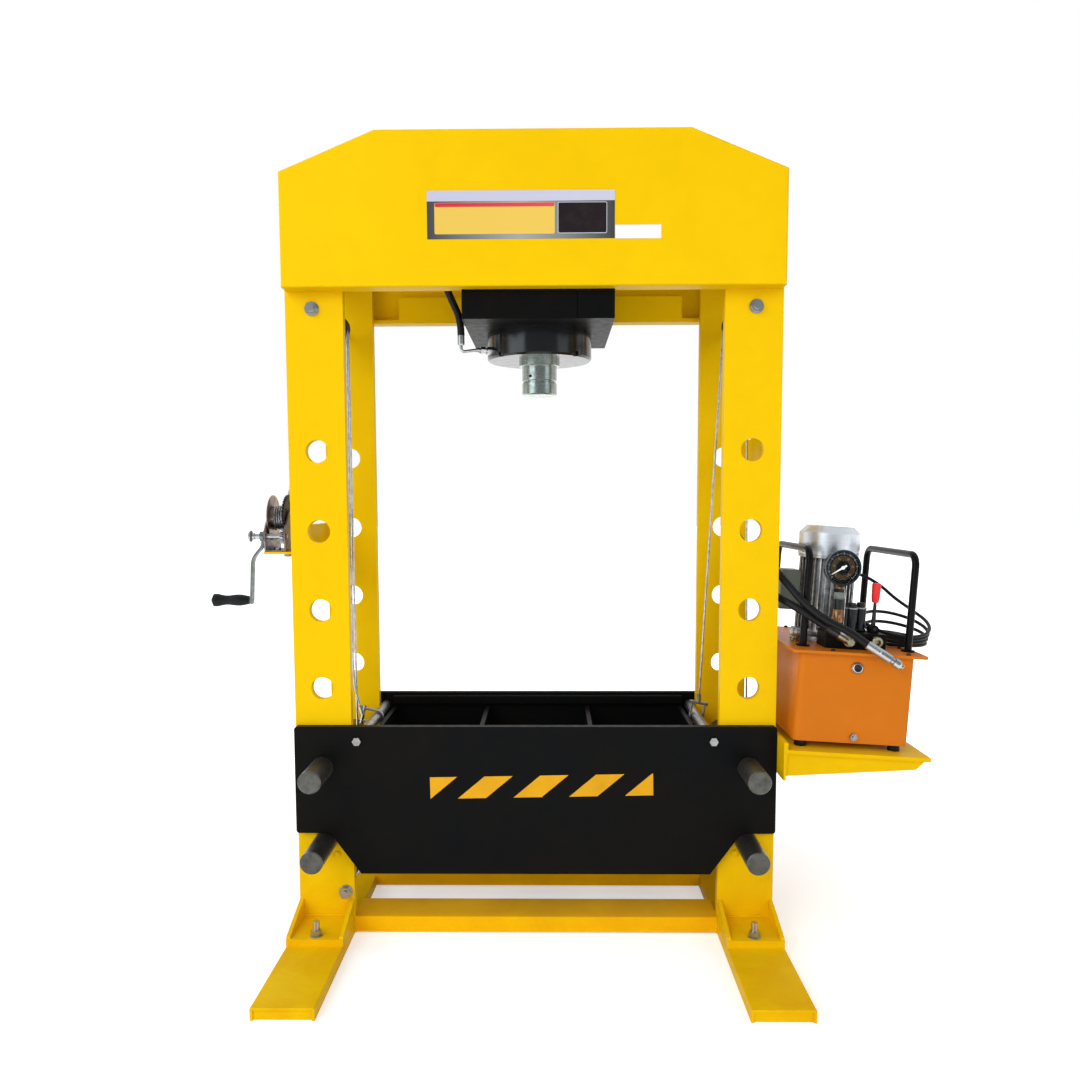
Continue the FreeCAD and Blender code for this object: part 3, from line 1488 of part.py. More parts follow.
def make_gauge():
    """Pressure gauge: round case with a bezel and a set-back dial, on its stem."""
    gauge = body("gauge_case", gauge_place())
    radius = s.gauge_diameter / 2
    depth = s.gauge_depth
    turn(gauge, [
        (0, 0), (radius - 4, 0), (radius - 2, 4), (radius - 2, depth - 8), (radius, depth - 8),
        (radius, depth - 2), (radius - 2, depth), (radius - 5, depth), (radius - 5, depth - 6),
        (0, depth - 6),
    ])
    bottom = -s.gauge_w + s.valve_top
    middle = depth / 2
    pad(gauge, "XZ_Plane", [(0, middle, 16)], bottom, -radius + 4)
    pad(gauge, "XZ_Plane", [hexagon(0, middle, 24)], -radius - 22, -radius - 8)
    pad(gauge, "XZ_Plane", [hexagon(0, middle, 26)], bottom + 16, bottom + 36)
    pad(gauge, "XZ_Plane", [(0, middle, 27)], bottom + 50, bottom + 84)
    return gauge


def make_needle():
    """Pointer of the gauge, resting low on the left."""
    needle = body("gauge_needle", gauge_place())
    low = s.gauge_depth - 5.7
    turned = Rotation(V(0, 0, 1), 214)
    needle.Placement = needle.Placement.multiply(Placement(V(0, 0, 0), turned))
    pointer = [(-11, -2.2), (0, -2.4), (33, -0.6), (33, 0.6), (0, 2.4), (-11, 2.2)]
    pad(needle, "XY_Plane", [pointer], low, low + 1.2)
    pad(needle, "XY_Plane", [(0, 0, 9)], low, low + 2.6)
    return needle


def make_valve():
    """Valve block on the lid, with the two ears that hold the lever."""
    valve = body("valve_block", pack_place())
    lid = s.tank_top + s.lid_plate
    block = rectangle(s.valve_left, s.valve_right, -s.valve_front, -s.valve_back)
    pad(valve, "XY_Plane", [block], lid, s.valve_top)
    dress(valve, "Chamfer", 2, lambda e: runs_along(e, 2) or e.BoundBox.ZMin > float(s.valve_top) - 0.1)
    ear = rectangle(s.lever_u - 10, s.lever_u + 10, s.valve_top, s.valve_top + 20)
    for y in (-s.lever_y - 15, -s.lever_y + 11):
        pad(valve, "XZ_Plane", [ear], y, y + 4)
    dress(valve, "Fillet", 9, lambda e: runs_along(e, 1) and e.BoundBox.ZMin > float(s.valve_top) + 15)
    cut(valve, "XZ_Plane", [(s.lever_u, s.valve_top + 10, 8.1)], -s.lever_y - 15, -s.lever_y + 15)
    return valve


def make_cartridges():
    """Two upright solenoid cartridges on the block."""
    cartridges = body("valve_cartridges", pack_place())
    for u, y in ((164, -182), (194, -160)):
        base = s.valve_top
        pad(cartridges, "XY_Plane", [(u, y, 29)], base, base + 60)
        pad(cartridges, "XY_Plane", [(u, y, 22)], base + 60, base + 68)
    return cartridges


def make_lever():
    """Control lever: cross pin in the ears and a round stem."""
    lever = body("control_lever", pack_place(s.lever_u, -s.lever_y, s.valve_top + 10))
    pad(lever, "XZ_Plane", [(0, 0, 8)], -14.5, 14.5)
    pad(lever, "XZ_Plane", [(0, 0, 17)], -10.7, 10.7)
    stem_top = s.lever_knob_bottom - s.valve_top - 10
    turn(lever, [(0, 0), (5.6, 0), (5.6, 18), (3.8, stem_top), (0, stem_top)])
    return lever


def make_knob():
    """Slightly tapered knob on the lever."""
    knob = body("lever_knob", pack_place(s.lever_u, -s.lever_y, s.lever_knob_bottom))
    height = s.lever_knob_top - s.lever_knob_bottom
    turn(knob, [(0, 0), (7.5, 0), (9, 4), (10.5, 16), (11.3, height - 3), (10, height), (0, height)])
    return knob


# ---------------------------------------------------------------- hoses and lead

def pack_point(u, y, w):
    """World position of a point given in the pack's frame."""
    return tuple(pack_place(u, y, w).Base)


def route_tube(label, points, diameter):
    """A hose or cable as one solid along hand-placed points."""
    wire, radii = fillet_route(points)
    report_tube(label, wire, diameter, radii)
    return solid_feature(label, sweep_tube(wire, diameter))


HOSE_END = (207, -285, 257)
COUPLER_END = (262, -300, 225)


def make_hoses():
    """Two hoses from the cylinder, through the beams and down the right column to the pack."""
    out = V(math.cos(math.radians(PORT_ANGLE)), math.sin(math.radians(PORT_ANGLE)), 0)
    knee = V(float(s.head_shift), 0, 0) + out * (float(s.cylinder_diameter) / 2 + PORT_REACH)
    front = [
        (knee.x, knee.y, HOSE_DROP + 23), (knee.x, knee.y, 1608), (-210, -99.5, 1650),
        (-230, -109, 1694), (-227, -131, 1750), (-187, -151, 1793), (-116, -159, 1808), (-40, -161, 1808),
        (140, -157, 1802), (320, -162, 1806), (440, -159, 1786), (498, -152, 1725),
        (509, -149, 1630), (503, -152, 1480), (508, -148, 1300), (503, -151, 1150),
        (508, -150, 1080), (540, -152, 1022), (610, -160, 975), (645, -176, 930), (683, -211, 879),
        (722, -243, 845),
    ]
    front += [pack_point(*p) for p in ((102.5, -254, 316), (138, -265, 301), (176.75, -276.75, 274.6), HOSE_END)]
    route_tube("hose_front", front, s.hose_diameter)
    top = float(s.bore_top)
    rear = [
        (float(s.head_shift) + 150, 0, top), (192, 0, top), (230, -8, top - 7), (282, -33, top - 29),
        (338, -66, top - 62),
        (402, -98, top - 96), (462, -112, top - 146), (494, -119, top - 220), (508, -121, 1600),
        (502, -118, 1440), (507, -122, 1280), (503, -118, 1120), (512, -121, 1010),
        (548, -134, 940), (622, -155, 893), (664, -204, 868),
    ]
    rear += [pack_point(*p) for p in ((72.8, -231, 314.6), ELBOW_MOUTH)]
    route_tube("hose_rear", rear, s.hose_diameter)


def make_hose_coupler():
    """Plain half of a quick coupler on the front hose's free end."""
    start = V(*pack_point(*HOSE_END))
    end = V(*pack_point(*COUPLER_END))
    length = (end - start).Length
    shape = turned_solid([
        (0, 0), (10.5, 0), (11.5, 2), (11.5, 30), (8, 33), (8, 38), (12, 41), (12, 54), (9, 57),
        (7, 60), (7, length - 2), (5, length), (0, length),
    ])
    return solid_feature("hose_coupler", shape, along(tuple(start), tuple(end - start)))


COIL_U = 323
COIL_Y = -58
OUTER_TURNS = 3.5
INNER_TURNS = 0.8


def coil_point(turns):
    """Centre line of the coiled lead after this many turns down, in the pack's frame."""
    inward = max(0.0, (turns - OUTER_TURNS) / INNER_TURNS) ** 1.5
    laid = min(turns, OUTER_TURNS)
    upper = OUTER_TURNS - laid
    angle = math.radians(35) - 2 * math.pi * turns
    radius = 92 - 6 * laid
    radius = radius - (radius - 28) * inward
    lid = float(s.tank_top) + float(s.lid_plate)
    resting = lid + float(s.lead_diameter) / 2 + 1
    lean = 9.5 * upper * (1 + math.cos(angle - math.radians(95)))
    height = resting + 8.3 * upper + lean + 12 * inward
    centre = COIL_U + 4 * laid
    return V(centre + radius * math.cos(angle), COIL_Y + radius * math.sin(angle), height)


STRETCHES = round((OUTER_TURNS + INNER_TURNS) * 6)


def coil_arc(number):
    """One arc of the coiled lead, about a sixth of a turn long."""
    step = (OUTER_TURNS + INNER_TURNS) / STRETCHES
    return Part.Arc(*[coil_point(step * (number + part)) for part in (0, 0.5, 1)])


def make_lead_coil():
    """Spare length of the power lead in loose loops on the lid, its end turned inward."""
    step = (OUTER_TURNS + INNER_TURNS) / STRETCHES
    wire = Part.Wire([coil_arc(k).toShape() for k in range(STRETCHES)])
    points = [coil_point(step * k / 5) for k in range(STRETCHES * 5 + 1)]
    gap = min((a - b).Length for i, a in enumerate(points) for b in points[i + 20:])
    print(f"lead_coil: length {wire.Length:.0f}, least gap {gap - float(s.lead_diameter):.1f}")
    return solid_feature("lead_coil", sweep_tube(wire, s.lead_diameter), pack_place())


def make_power_lead():
    """Power lead from the terminal box's gland round the back of the motor to the coil."""
    start = coil_point(0)
    first = coil_arc(0)
    onward = V(*first.tangent(first.FirstParameter)[0]).normalize()
    before = start - onward * 34
    points = [
        (43, 14.5, 352), (43, 54, 352), (66, 82, 380), (110, 92, 404), (156, 86, 424), (208, 66, 434),
        (262, 50, 428), (312, 38, 402), (352, 30, 368), tuple(before), tuple(start),
    ]
    wire, radii = fillet_route(points)
    report_tube("power_lead", wire, s.lead_diameter, radii)
    return solid_feature("power_lead", sweep_tube(wire, s.lead_diameter), pack_place())


def make_lead_plug():
    """Moulded plug with round pins on the inner end of the coil."""
    end = coil_point(OUTER_TURNS + INNER_TURNS)
    last = coil_arc(STRETCHES - 1)
    direction = last.tangent(last.LastParameter)[0]
    plug = turned_solid([(0, 0), (7, 0), (8, 6), (15, 12), (16, 36), (14, 38), (0, 38)])
    pins = [Part.makeCylinder(2.4, 16, V(8 * math.cos(a), 8 * math.sin(a), 37)) for a in (0.5, 2.6, 4.7)]
    shape = plug.multiFuse(pins).removeSplitter()
    place = pack_place().multiply(along(tuple(end), tuple(direction)))
    return solid_feature("lead_plug", shape, place)


make_pack_shelf()
make_tank()
make_lid()
make_tank_feet()
make_fittings()
make_hoops()
make_motor()
make_cowl()
make_fan()
make_terminal_box()
make_gauge()
make_needle()
make_valve()
make_cartridges()
make_lever()
make_knob()
make_hoses()
make_hose_coupler()
make_lead_coil()
make_power_lead()
make_lead_plug()


# ---------------------------------------------------------------- checks and files

def check_and_export():
    """Stop on any failed feature or bad solid, then write one file for each sub-part."""
    doc.recompute()
    for item in doc.Objects:
        if "Invalid" in item.State or "Error" in item.State:
            raise RuntimeError(f"{item.Label} failed: {item.State}")
    os.makedirs("parts", exist_ok=True)
    for piece in PIECES:
        shape = piece.Shape
        if shape.isNull() or not shape.isValid():
            raise RuntimeError(f"{piece.Label} has no valid shape")
        shape.exportStep(f"parts/{piece.Label}.step")
        print(f"{piece.Label}: {shape.Volume / 1000:.1f} cm3, {len(shape.Solids)} solids")


check_and_export()
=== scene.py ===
# %% [markdown]
# # A hydraulic workshop press
# The press is a yellow frame of four flat bars under two folded beams. A black head plate carries the
# cylinder, a black bed hangs on pins, a hand winch stands on the left and an electric power pack sags on
# its bracket on the right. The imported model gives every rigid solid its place. This lesson dresses those
# solids and models what solids can't show: hoses, wire ropes, decals, dial marks, screws and paint.
#
# All lengths are metres. X runs to the right, Y to the back and Z up, and the floor is at zero.

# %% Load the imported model
import bpy
import bmesh
import json
import math
from mathutils import Matrix, Vector


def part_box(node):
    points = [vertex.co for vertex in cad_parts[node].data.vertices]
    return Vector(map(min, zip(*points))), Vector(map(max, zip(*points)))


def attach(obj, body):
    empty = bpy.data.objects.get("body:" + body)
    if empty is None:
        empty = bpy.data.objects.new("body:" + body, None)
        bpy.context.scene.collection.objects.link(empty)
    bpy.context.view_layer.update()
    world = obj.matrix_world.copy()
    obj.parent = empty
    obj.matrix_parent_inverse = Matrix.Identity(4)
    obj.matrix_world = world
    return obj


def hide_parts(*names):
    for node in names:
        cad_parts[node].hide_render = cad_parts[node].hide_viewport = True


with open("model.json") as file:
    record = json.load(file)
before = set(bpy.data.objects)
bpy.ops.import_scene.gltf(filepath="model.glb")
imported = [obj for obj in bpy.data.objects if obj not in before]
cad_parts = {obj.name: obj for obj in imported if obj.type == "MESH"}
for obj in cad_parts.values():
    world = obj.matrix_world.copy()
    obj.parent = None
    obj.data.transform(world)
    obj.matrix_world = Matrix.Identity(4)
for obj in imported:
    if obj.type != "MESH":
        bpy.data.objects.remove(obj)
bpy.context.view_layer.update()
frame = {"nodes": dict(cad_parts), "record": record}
nodes = frame["nodes"]

# %% [markdown]
# ## The camera
# The photograph was taken from eye height about two and a half metres in front of the press, looking
# slightly down. The place and angles below come from the frame's own right angles in the picture. The
# picture was cropped a little low, so the lens is shifted up rather than tilted.

# %% Place the camera
CAMERA_PLACE = Vector((0.0449, -2.4939, 1.1354))
PITCH_DOWN = 0.08424
YAW_LEFT = 0.01329
ROLL = -0.00298
LENS_MM = 30.0
SENSOR_MM = 36.0
SHIFT_UP = 0.0352


def camera_axes(pitch, yaw, roll):
    """The camera's right, up and forward directions."""
    flat = math.cos(pitch)
    forward = Vector((-math.sin(yaw) * flat, math.cos(yaw) * flat, -math.sin(pitch)))
    level = Vector((math.cos(yaw), math.sin(yaw), 0))
    upright = level.cross(forward)
    right = level * math.cos(roll) + upright * math.sin(roll)
    return right, upright * math.cos(roll) - level * math.sin(roll), forward


right, up, forward = camera_axes(PITCH_DOWN, YAW_LEFT, ROLL)
camera = bpy.data.objects.new("camera", bpy.data.cameras.new("camera"))
bpy.context.scene.collection.objects.link(camera)
turned_to = Matrix((right, up, -forward)).transposed().to_4x4()
camera.matrix_world = Matrix.Translation(CAMERA_PLACE) @ turned_to
camera.data.lens = LENS_MM
camera.data.sensor_width = SENSOR_MM
camera.data.shift_y = SHIFT_UP
camera.data.clip_end = 50
bpy.context.scene.camera = camera
print("camera looks along", tuple(round(c, 3) for c in forward))

# %% [markdown]
# ## Routes for hoses, lead and ropes
# A hose, a lead or a rope is one smooth line, so each is drawn first as a NURBS spline through a few
# control points. A tube could be the spline's own bevel. Here a mesh is swept along it instead, because
# a rope needs twisted strands and a hose needs a pattern that runs along it, and both follow a UV map.

# %% Link an object, and turn one into a plain mesh
def link_object(title, data):
    """Put a new object with this data into the scene."""
    made = bpy.data.objects.new(title, data)
    bpy.context.scene.collection.objects.link(made)
    return made


def plain_mesh(holder):
    """The evaluated object as a plain mesh. The object itself is removed."""
    bpy.context.view_layer.update()
    made = bpy.data.meshes.new_from_object(holder.evaluated_get(bpy.context.evaluated_depsgraph_get()))
    bpy.data.objects.remove(holder)
    return made


print("object helpers are ready")

# %% A spline for a route, and the places along it
PACK_X = 0.632
PACK_Z = 0.518
SAG = math.radians(3.4)


def pack_point(u, y, w):
    """A place on the sagging power pack, given in millimetres along its shelf, back and up."""
    across = (u * math.cos(SAG) + w * math.sin(SAG)) / 1000
    height = (w * math.cos(SAG) - u * math.sin(SAG)) / 1000
    return Vector((PACK_X + across, y / 1000, PACK_Z + height))


def in_metres(points):
    """Control points given in millimetres."""
    return [Vector(p) / 1000 for p in points]


def smooth_line(title, route, spacing):
    """Evenly spaced places along the NURBS spline of a route."""
    curve = bpy.data.curves.new(title + "_route", "CURVE")
    curve.dimensions = "3D"
    spline = curve.splines.new("NURBS")
    spline.points.add(len(route) - 1)
    for point, place in zip(spline.points, route):
        point.co = (*place, 1)
    spline.order_u = 3
    spline.use_endpoint_u = True
    spline.resolution_u = 24
    mesh = plain_mesh(link_object(title + "_route", curve))
    line = [v.co.copy() for v in mesh.vertices]
    bpy.data.meshes.remove(mesh)
    total = sum((b - a).length for a, b in zip(line, line[1:]))
    steps = max(4, round(total / spacing))
    places = [line[0]]
    covered = 0.0
    for a, b in zip(line, line[1:]):
        stretch = (b - a).length
        while len(places) < steps and covered + stretch >= total * len(places) / steps:
            share = (total * len(places) / steps - covered) / stretch
            places.append(a.lerp(b, share))
        covered += stretch
    places.append(line[-1])
    return places, total


# %% Sweep a cross-section along a line
TILES_PER_METRE = 10


def finish_piece(title, mesh, material, body, smooth=True):
    """Link a finished mesh as one piece that rides on a body and wears the given material, if there is one."""
    piece = link_object(title, mesh)
    if material is not None:
        mesh.materials.clear()
        mesh.materials.append(material)
    if smooth:
        mesh.polygons.foreach_set("use_smooth", [True] * len(mesh.polygons))
    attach(piece, body)
    return piece


def skin(title, rings):
    """A closed mesh over rings that have the same number of places."""
    sides = len(rings[0])
    faces = [tuple(reversed(range(sides)))]
    for k in range(len(rings) - 1):
        for n in range(sides):
            m = (n + 1) % sides
            faces.append((k * sides + n, k * sides + m, (k + 1) * sides + m, (k + 1) * sides + n))
    faces.append(tuple(range((len(rings) - 1) * sides, len(rings) * sides)))
    mesh = bpy.data.meshes.new(title)
    mesh.from_pydata([p for ring in rings for p in ring], [], faces)
    return mesh


def sweep(title, line, sides, radius_at):
    """A closed tube along a line. radius_at takes the angle's share and the distance."""
    rings = []
    distances = []
    distance = 0.0
    tangent = (line[1] - line[0]).normalized()
    side = tangent.orthogonal().normalized()
    for k, place in enumerate(line):
        before = line[max(k - 1, 0)]
        after = line[min(k + 1, len(line) - 1)]
        onward = (after - before).normalized()
        side = (side - onward * side.dot(onward)).normalized()
        other = onward.cross(side)
        if k:
            distance += (place - before).length
        ring = []
        for n in range(sides):
            angle = 2 * math.pi * n / sides
            reach = radius_at(n / sides, distance)
            ring.append(place + (side * math.cos(angle) + other * math.sin(angle)) * reach)
        rings.append(ring)
        distances.append(distance)
    mesh = skin(title, rings)
    layer = mesh.uv_layers.new(name="along")
    for face in mesh.polygons:
        for loop, vertex in zip(face.loop_indices, face.vertices):
            k, n = divmod(vertex, sides)
            share = n / sides
            if n == 0 and any(v % sides == sides - 1 for v in face.vertices):
                share = 1.0
            layer.data[loop].uv = (share, distances[k] * TILES_PER_METRE)
    return mesh


print("route tools are ready")

# %% [markdown]
# ## The two hydraulic hoses
# Both hoses leave the cylinder, climb between the beams and run down inside the right column to the pack.
# A rubber hose this thick is stiff, so it bends in wide curves. The front one ends in a quick coupler that
# lies loose by the valve, and the rear one goes back into an elbow on the valve.

# %% Draw the hoses
HOSE = 0.019
WRAP_PITCH = 0.012
WRAP_DEPTH = 0.00012
COUPLER_START = (207, -285, 257)
ELBOW_MOUTH = (118, -234, 289)
front_on_press = [
    (-191.92, -95.09, 1570), (-191.92, -95.09, 1608), (-210, -99.5, 1650), (-230, -109, 1694),
    (-227, -131, 1750), (-187, -151, 1793), (-116, -159, 1808), (-40, -161, 1808), (140, -157, 1802),
    (320, -162, 1806), (440, -159, 1786), (498, -152, 1725), (509, -149, 1630), (503, -152, 1480),
    (508, -148, 1300), (503, -151, 1150), (508, -150, 1080), (540, -152, 1022), (610, -160, 975),
    (645, -176, 930), (683, -211, 879), (722, -243, 845),
]
front_on_pack = [(102.5, -254, 316), (138, -265, 301), (176.75, -276.75, 274.6), COUPLER_START]
rear_on_press = [
    (162, 0, 1932), (192, 0, 1932), (230, -8, 1925), (282, -33, 1903), (338, -66, 1870), (402, -98, 1836),
    (462, -112, 1786), (494, -119, 1712), (508, -121, 1600), (502, -118, 1440), (507, -122, 1280),
    (503, -118, 1120), (512, -121, 1010), (548, -134, 940), (622, -155, 893), (664, -204, 868),
]
rear_on_pack = [(72.8, -231, 314.6), ELBOW_MOUTH]
hose_front_route = in_metres(front_on_press) + [pack_point(*p) for p in front_on_pack]
hose_rear_route = in_metres(rear_on_press) + [pack_point(*p) for p in rear_on_pack]


def hose_reach(share, distance):
    """A hose's outside, with the faint spiral that its cloth wrapping leaves in the rubber."""
    return HOSE / 2 - WRAP_DEPTH + WRAP_DEPTH * math.sin(2 * math.pi * (distance / WRAP_PITCH + share))


hoses = {}
for title, route, far_end in (
    ("rubber_hose_front", hose_front_route, "connector"),
    ("rubber_hose_rear", hose_rear_route, "object"),
):
    line, total = smooth_line(title, route, 0.0022)
    hoses[title] = (sweep(title, line, 16, hose_reach), line, total, route[0], far_end)
    print(title, "is", round(total, 3), "m long")

# %% [markdown]
# ## The power lead
# The lead leaves the gland of the motor's terminal box, goes round behind the motor and drops into loose
# loops by the right hoop's foot, where its plug ends in the middle. The upper loops are larger and lean on
# their back, because nothing ties them. They are more points of the same spline, fourteen for each turn.

# %% Draw the lead and its loops
LEAD = 0.009
COIL_U, COIL_Y = 323, -58
OUTER_TURNS, INNER_TURNS = 3.5, 0.8
OUTER_RADIUS, INNER_RADIUS = 92, 28
TURN_SHRINK, TURN_SHIFT, TURN_DROP = 6, 4, 8.3
BACKWARD_LEAN = 9.5
POINTS_PER_TURN = 14
LID_TOP = 250


def coil_point(turns):
    """A place on the coiled lead after this many turns down."""
    inward = max(0.0, (turns - OUTER_TURNS) / INNER_TURNS) ** 1.5
    laid = min(turns, OUTER_TURNS)
    angle = math.radians(35) - 2 * math.pi * turns
    radius = OUTER_RADIUS - TURN_SHRINK * laid
    radius = radius - (radius - INNER_RADIUS) * inward
    lean = BACKWARD_LEAN * (OUTER_TURNS - laid) * (1 + math.cos(angle - math.radians(95)))
    height = LID_TOP + LEAD * 500 + 1 + TURN_DROP * (OUTER_TURNS - laid) + lean + 12 * inward
    across = COIL_U + TURN_SHIFT * laid + radius * math.cos(angle)
    return pack_point(across, COIL_Y + radius * math.sin(angle), height)


coil_steps = round((OUTER_TURNS + INNER_TURNS) * POINTS_PER_TURN)
coil_route = [coil_point((OUTER_TURNS + INNER_TURNS) * k / coil_steps) for k in range(coil_steps + 1)]
lead_route = [pack_point(*p) for p in (
    (43, 14.5, 352), (43, 54, 352), (66, 82, 380), (110, 92, 404), (156, 86, 424), (208, 66, 434),
    (262, 50, 428), (312, 38, 402), (352, 30, 368),
)]
onward = (coil_route[1] - coil_route[0]).normalized()
lead_route.append(coil_route[0] - onward * 0.034)
lead_route += coil_route
lead_line, lead_length = smooth_line("power_lead", lead_route, 0.003)
lead_mesh = sweep("mains_lead", lead_line, 14, lambda share, distance: LEAD / 2)
print("the lead is", round(lead_length, 3), "m long")

# %% [markdown]
# ## The wire ropes
# A rope's line is straight between its wheels and round on them. A spline does that when its control
# points are the corners of an outline that just clears the wheel, with one more corner on each straight
# run, as far from the wheel as the first. Six strands twist round a core, so the swept section has six
# lobes that turn with the distance.

# %% Wheel corners and strands
ROPE = 0.006
ROPE_LAY = 0.042


def wheel_corners(centre, radius, first, last, y):
    """Corners round a wheel from one direction to another, in degrees from +X towards +Z."""
    count = max(1, math.ceil(abs(last - first) / 50))
    step = (last - first) / count
    reach = radius / math.cos(math.radians(step / 2))
    corners = []
    for k in range(count):
        angle = math.radians(first + step * (k + 0.5))
        corners.append(Vector((centre[0] + reach * math.cos(angle), y, centre[1] + reach * math.sin(angle))))
    tails = []
    for end, sign in ((first, -1), (last, 1)):
        angle = math.radians(end)
        touch = Vector((centre[0] + radius * math.cos(angle), y, centre[1] + radius * math.sin(angle)))
        along = Vector((-math.sin(angle), 0, math.cos(angle))) * math.copysign(1, step)
        tails.append(touch + along * sign * radius * math.tan(math.radians(abs(step) / 2)))
    return [tails[0]] + corners + [tails[1]]


def touch_angle(point, centre, radius, side):
    """Direction in degrees where a straight strand from a point meets a wheel."""
    dx = centre[0] - point[0]
    dz = centre[1] - point[1]
    bend = math.acos(radius / math.hypot(dx, dz))
    return math.degrees(math.atan2(-dz, -dx) + side * bend)


def strand_reach(share, distance):
    """Outside of a six-strand rope at an angle and a distance along it."""
    lobe = (share + distance / ROPE_LAY) * 6
    return ROPE / 2 * (0.86 + 0.14 * abs(math.cos(math.pi * lobe)))


WHEEL = 0.032
SMALL_WHEEL = 0.017
TOP_LEFT = (-0.554, 1.618)
TOP_RIGHT = (0.554, 1.618)
LOW_LEFT = (-0.5, 0.113)
LOW_RIGHT = (0.592, 0.113)
EYE_LEFT = Vector((-0.5041, 0.038, 0.554))
EYE_RIGHT = Vector((0.4668, 0.056, 0.5844))
start_left = Vector((-0.7085, 0.0374, 1.0985))
start_right = Vector((-0.7015, 0.0374, 1.0985))
turn_left = touch_angle((start_left.x, start_left.z), TOP_LEFT, WHEEL, -1) % 360
turn_right = touch_angle((start_right.x, start_right.z), TOP_LEFT, WHEEL, -1) % 360
print("the strands meet the wheel at", round(turn_left, 1), round(turn_right, 1), "degrees")

# %% Draw the two lifting ropes
rope_left_route = [start_left]
rope_left_route += wheel_corners(TOP_LEFT, WHEEL, turn_left, 0, 0.038)
rope_left_route += in_metres([
    (-523, 38, 900), (-524, 38, 760), (-523, 38, 668), (-520, 38, 614), (-512, 38, 579),
])
rope_left_route.append(EYE_LEFT)
lean = math.degrees(math.atan2(0.005, 1.505))
lean_right = math.degrees(math.atan2(-0.023, 1.505))
off_right = touch_angle((EYE_RIGHT.x, EYE_RIGHT.z), TOP_RIGHT, WHEEL, -1) % 360
rope_right_route = [start_right]
rope_right_route += wheel_corners(TOP_LEFT, WHEEL, turn_right, lean, 0.056)
rope_right_route += wheel_corners(LOW_LEFT, SMALL_WHEEL, 180 + lean, 270, 0.056)
rope_right_route += wheel_corners(LOW_RIGHT, SMALL_WHEEL, 270, 360 - lean_right, 0.056)
rope_right_route += wheel_corners(TOP_RIGHT, WHEEL, -lean_right, off_right, 0.056)
rope_right_route.append(EYE_RIGHT)
ropes = {}
for title, route in (("wire_rope_left", rope_left_route), ("wire_rope_right", rope_right_route)):
    line, total = smooth_line(title, route, 0.004)
    ropes[title] = (sweep(title, line, 18, strand_reach), line, total)
    print(title, "is", round(total, 3), "m long, ends at", tuple(round(c, 3) for c in line[-1]))

# %% Wind the rope on the drum
DRUM_X, DRUM_Z = -0.704, 1.0945
WINDING_TURNS, WINDING_RADIUS, WINDING_PITCH = 4.5, 0.031, 0.0066
CORNERS_PER_TURN = 12
winding_route = []
for k in range(round(WINDING_TURNS * CORNERS_PER_TURN) + 1):
    angle = 2 * math.pi * k / CORNERS_PER_TURN
    reach = WINDING_RADIUS / math.cos(math.pi / CORNERS_PER_TURN)
    winding_route.append(Vector((
        DRUM_X - 0.0176 + WINDING_PITCH * k / CORNERS_PER_TURN, reach * math.sin(angle),
        DRUM_Z - reach * math.cos(angle),
    )))
winding_line, winding_length = smooth_line("drum_winding", winding_route, 0.0032)
winding_mesh = sweep("wound_rope", winding_line, 18, strand_reach)
print("the winding is", round(winding_length, 3), "m long")

# %% [markdown]
# ## Building blocks for finishes
# Every finish is a node tree. Effects that several finishes share are node groups with named sockets: the
# uneven film of sprayed enamel, paint rubbed thin along edges, workshop dust with a patchy darker tone near the
# floor, and the fine lines that a lathe leaves. The Principled shader itself stays in each material, where its
# fixed numbers are set.

# %% Helpers for node trees
def feed(tree, socket, value):
    """Link another socket to this one, or give it a plain value."""
    if isinstance(value, bpy.types.NodeSocket):
        tree.links.new(value, socket)
    else:
        socket.default_value = value


def add_node(tree, kind, inputs=None, **settings):
    """Add a node, set its settings, and feed its inputs with numbers or other sockets."""
    made = tree.nodes.new(kind)
    for name, value in settings.items():
        setattr(made, name, value)
    for name, value in (inputs or {}).items():
        feed(tree, made.inputs[name], value)
    return made


def shader_group(title, inputs, outputs):
    """An empty shader group with its sockets, its input node and its output node."""
    tree = bpy.data.node_groups.new(title, "ShaderNodeTree")
    for name, kind, value in inputs:
        socket = tree.interface.new_socket(name, in_out="INPUT", socket_type=kind)
        socket.default_value = value
    for name, kind in outputs:
        tree.interface.new_socket(name, in_out="OUTPUT", socket_type=kind)
    return tree, tree.nodes.new("NodeGroupInput"), tree.nodes.new("NodeGroupOutput")


def place_group(tree, group, inputs):
    """Put a shader group into a material's tree."""
    return add_node(tree, "ShaderNodeGroup", inputs, node_tree=group)


def own_place(tree):
    """The place on the piece, in its own coordinates."""
    return add_node(tree, "ShaderNodeTexCoord").outputs["Object"]


def new_material(title):
    """A material, its node tree and its Principled shader."""
    material = bpy.data.materials.new(title)
    material.use_nodes = True
    return material, material.node_tree, material.node_tree.nodes["Principled BSDF"]


def maths(tree, operation, first, second=0.0, third=None, clamp=False):
    """One Math node; its arguments are numbers or sockets."""
    made = tree.nodes.new("ShaderNodeMath")
    made.operation = operation
    made.use_clamp = clamp
    for socket, value in zip(made.inputs, (first, second, third)):
        if value is not None:
            feed(tree, socket, value)
    return made.outputs[0]


def mix_colour(tree, factor, first, second, blend="MIX"):
    """Blend two colours by a factor."""
    made = tree.nodes.new("ShaderNodeMix")
    made.data_type = "RGBA"
    made.blend_type = blend
    made.clamp_factor = True
    feed(tree, made.inputs[0], factor)
    for index, value in ((6, first), (7, second)):
        feed(tree, made.inputs[index], (*value, 1) if isinstance(value, tuple) else value)
    return made.outputs[2]


def roughen(tree, shader, strength, depth, height):
    """Let a height bump the shader's surface."""
    bump = add_node(tree, "ShaderNodeBump", {"Strength": strength, "Distance": depth, "Height": height})
    tree.links.new(bump.outputs["Normal"], shader.inputs["Normal"])


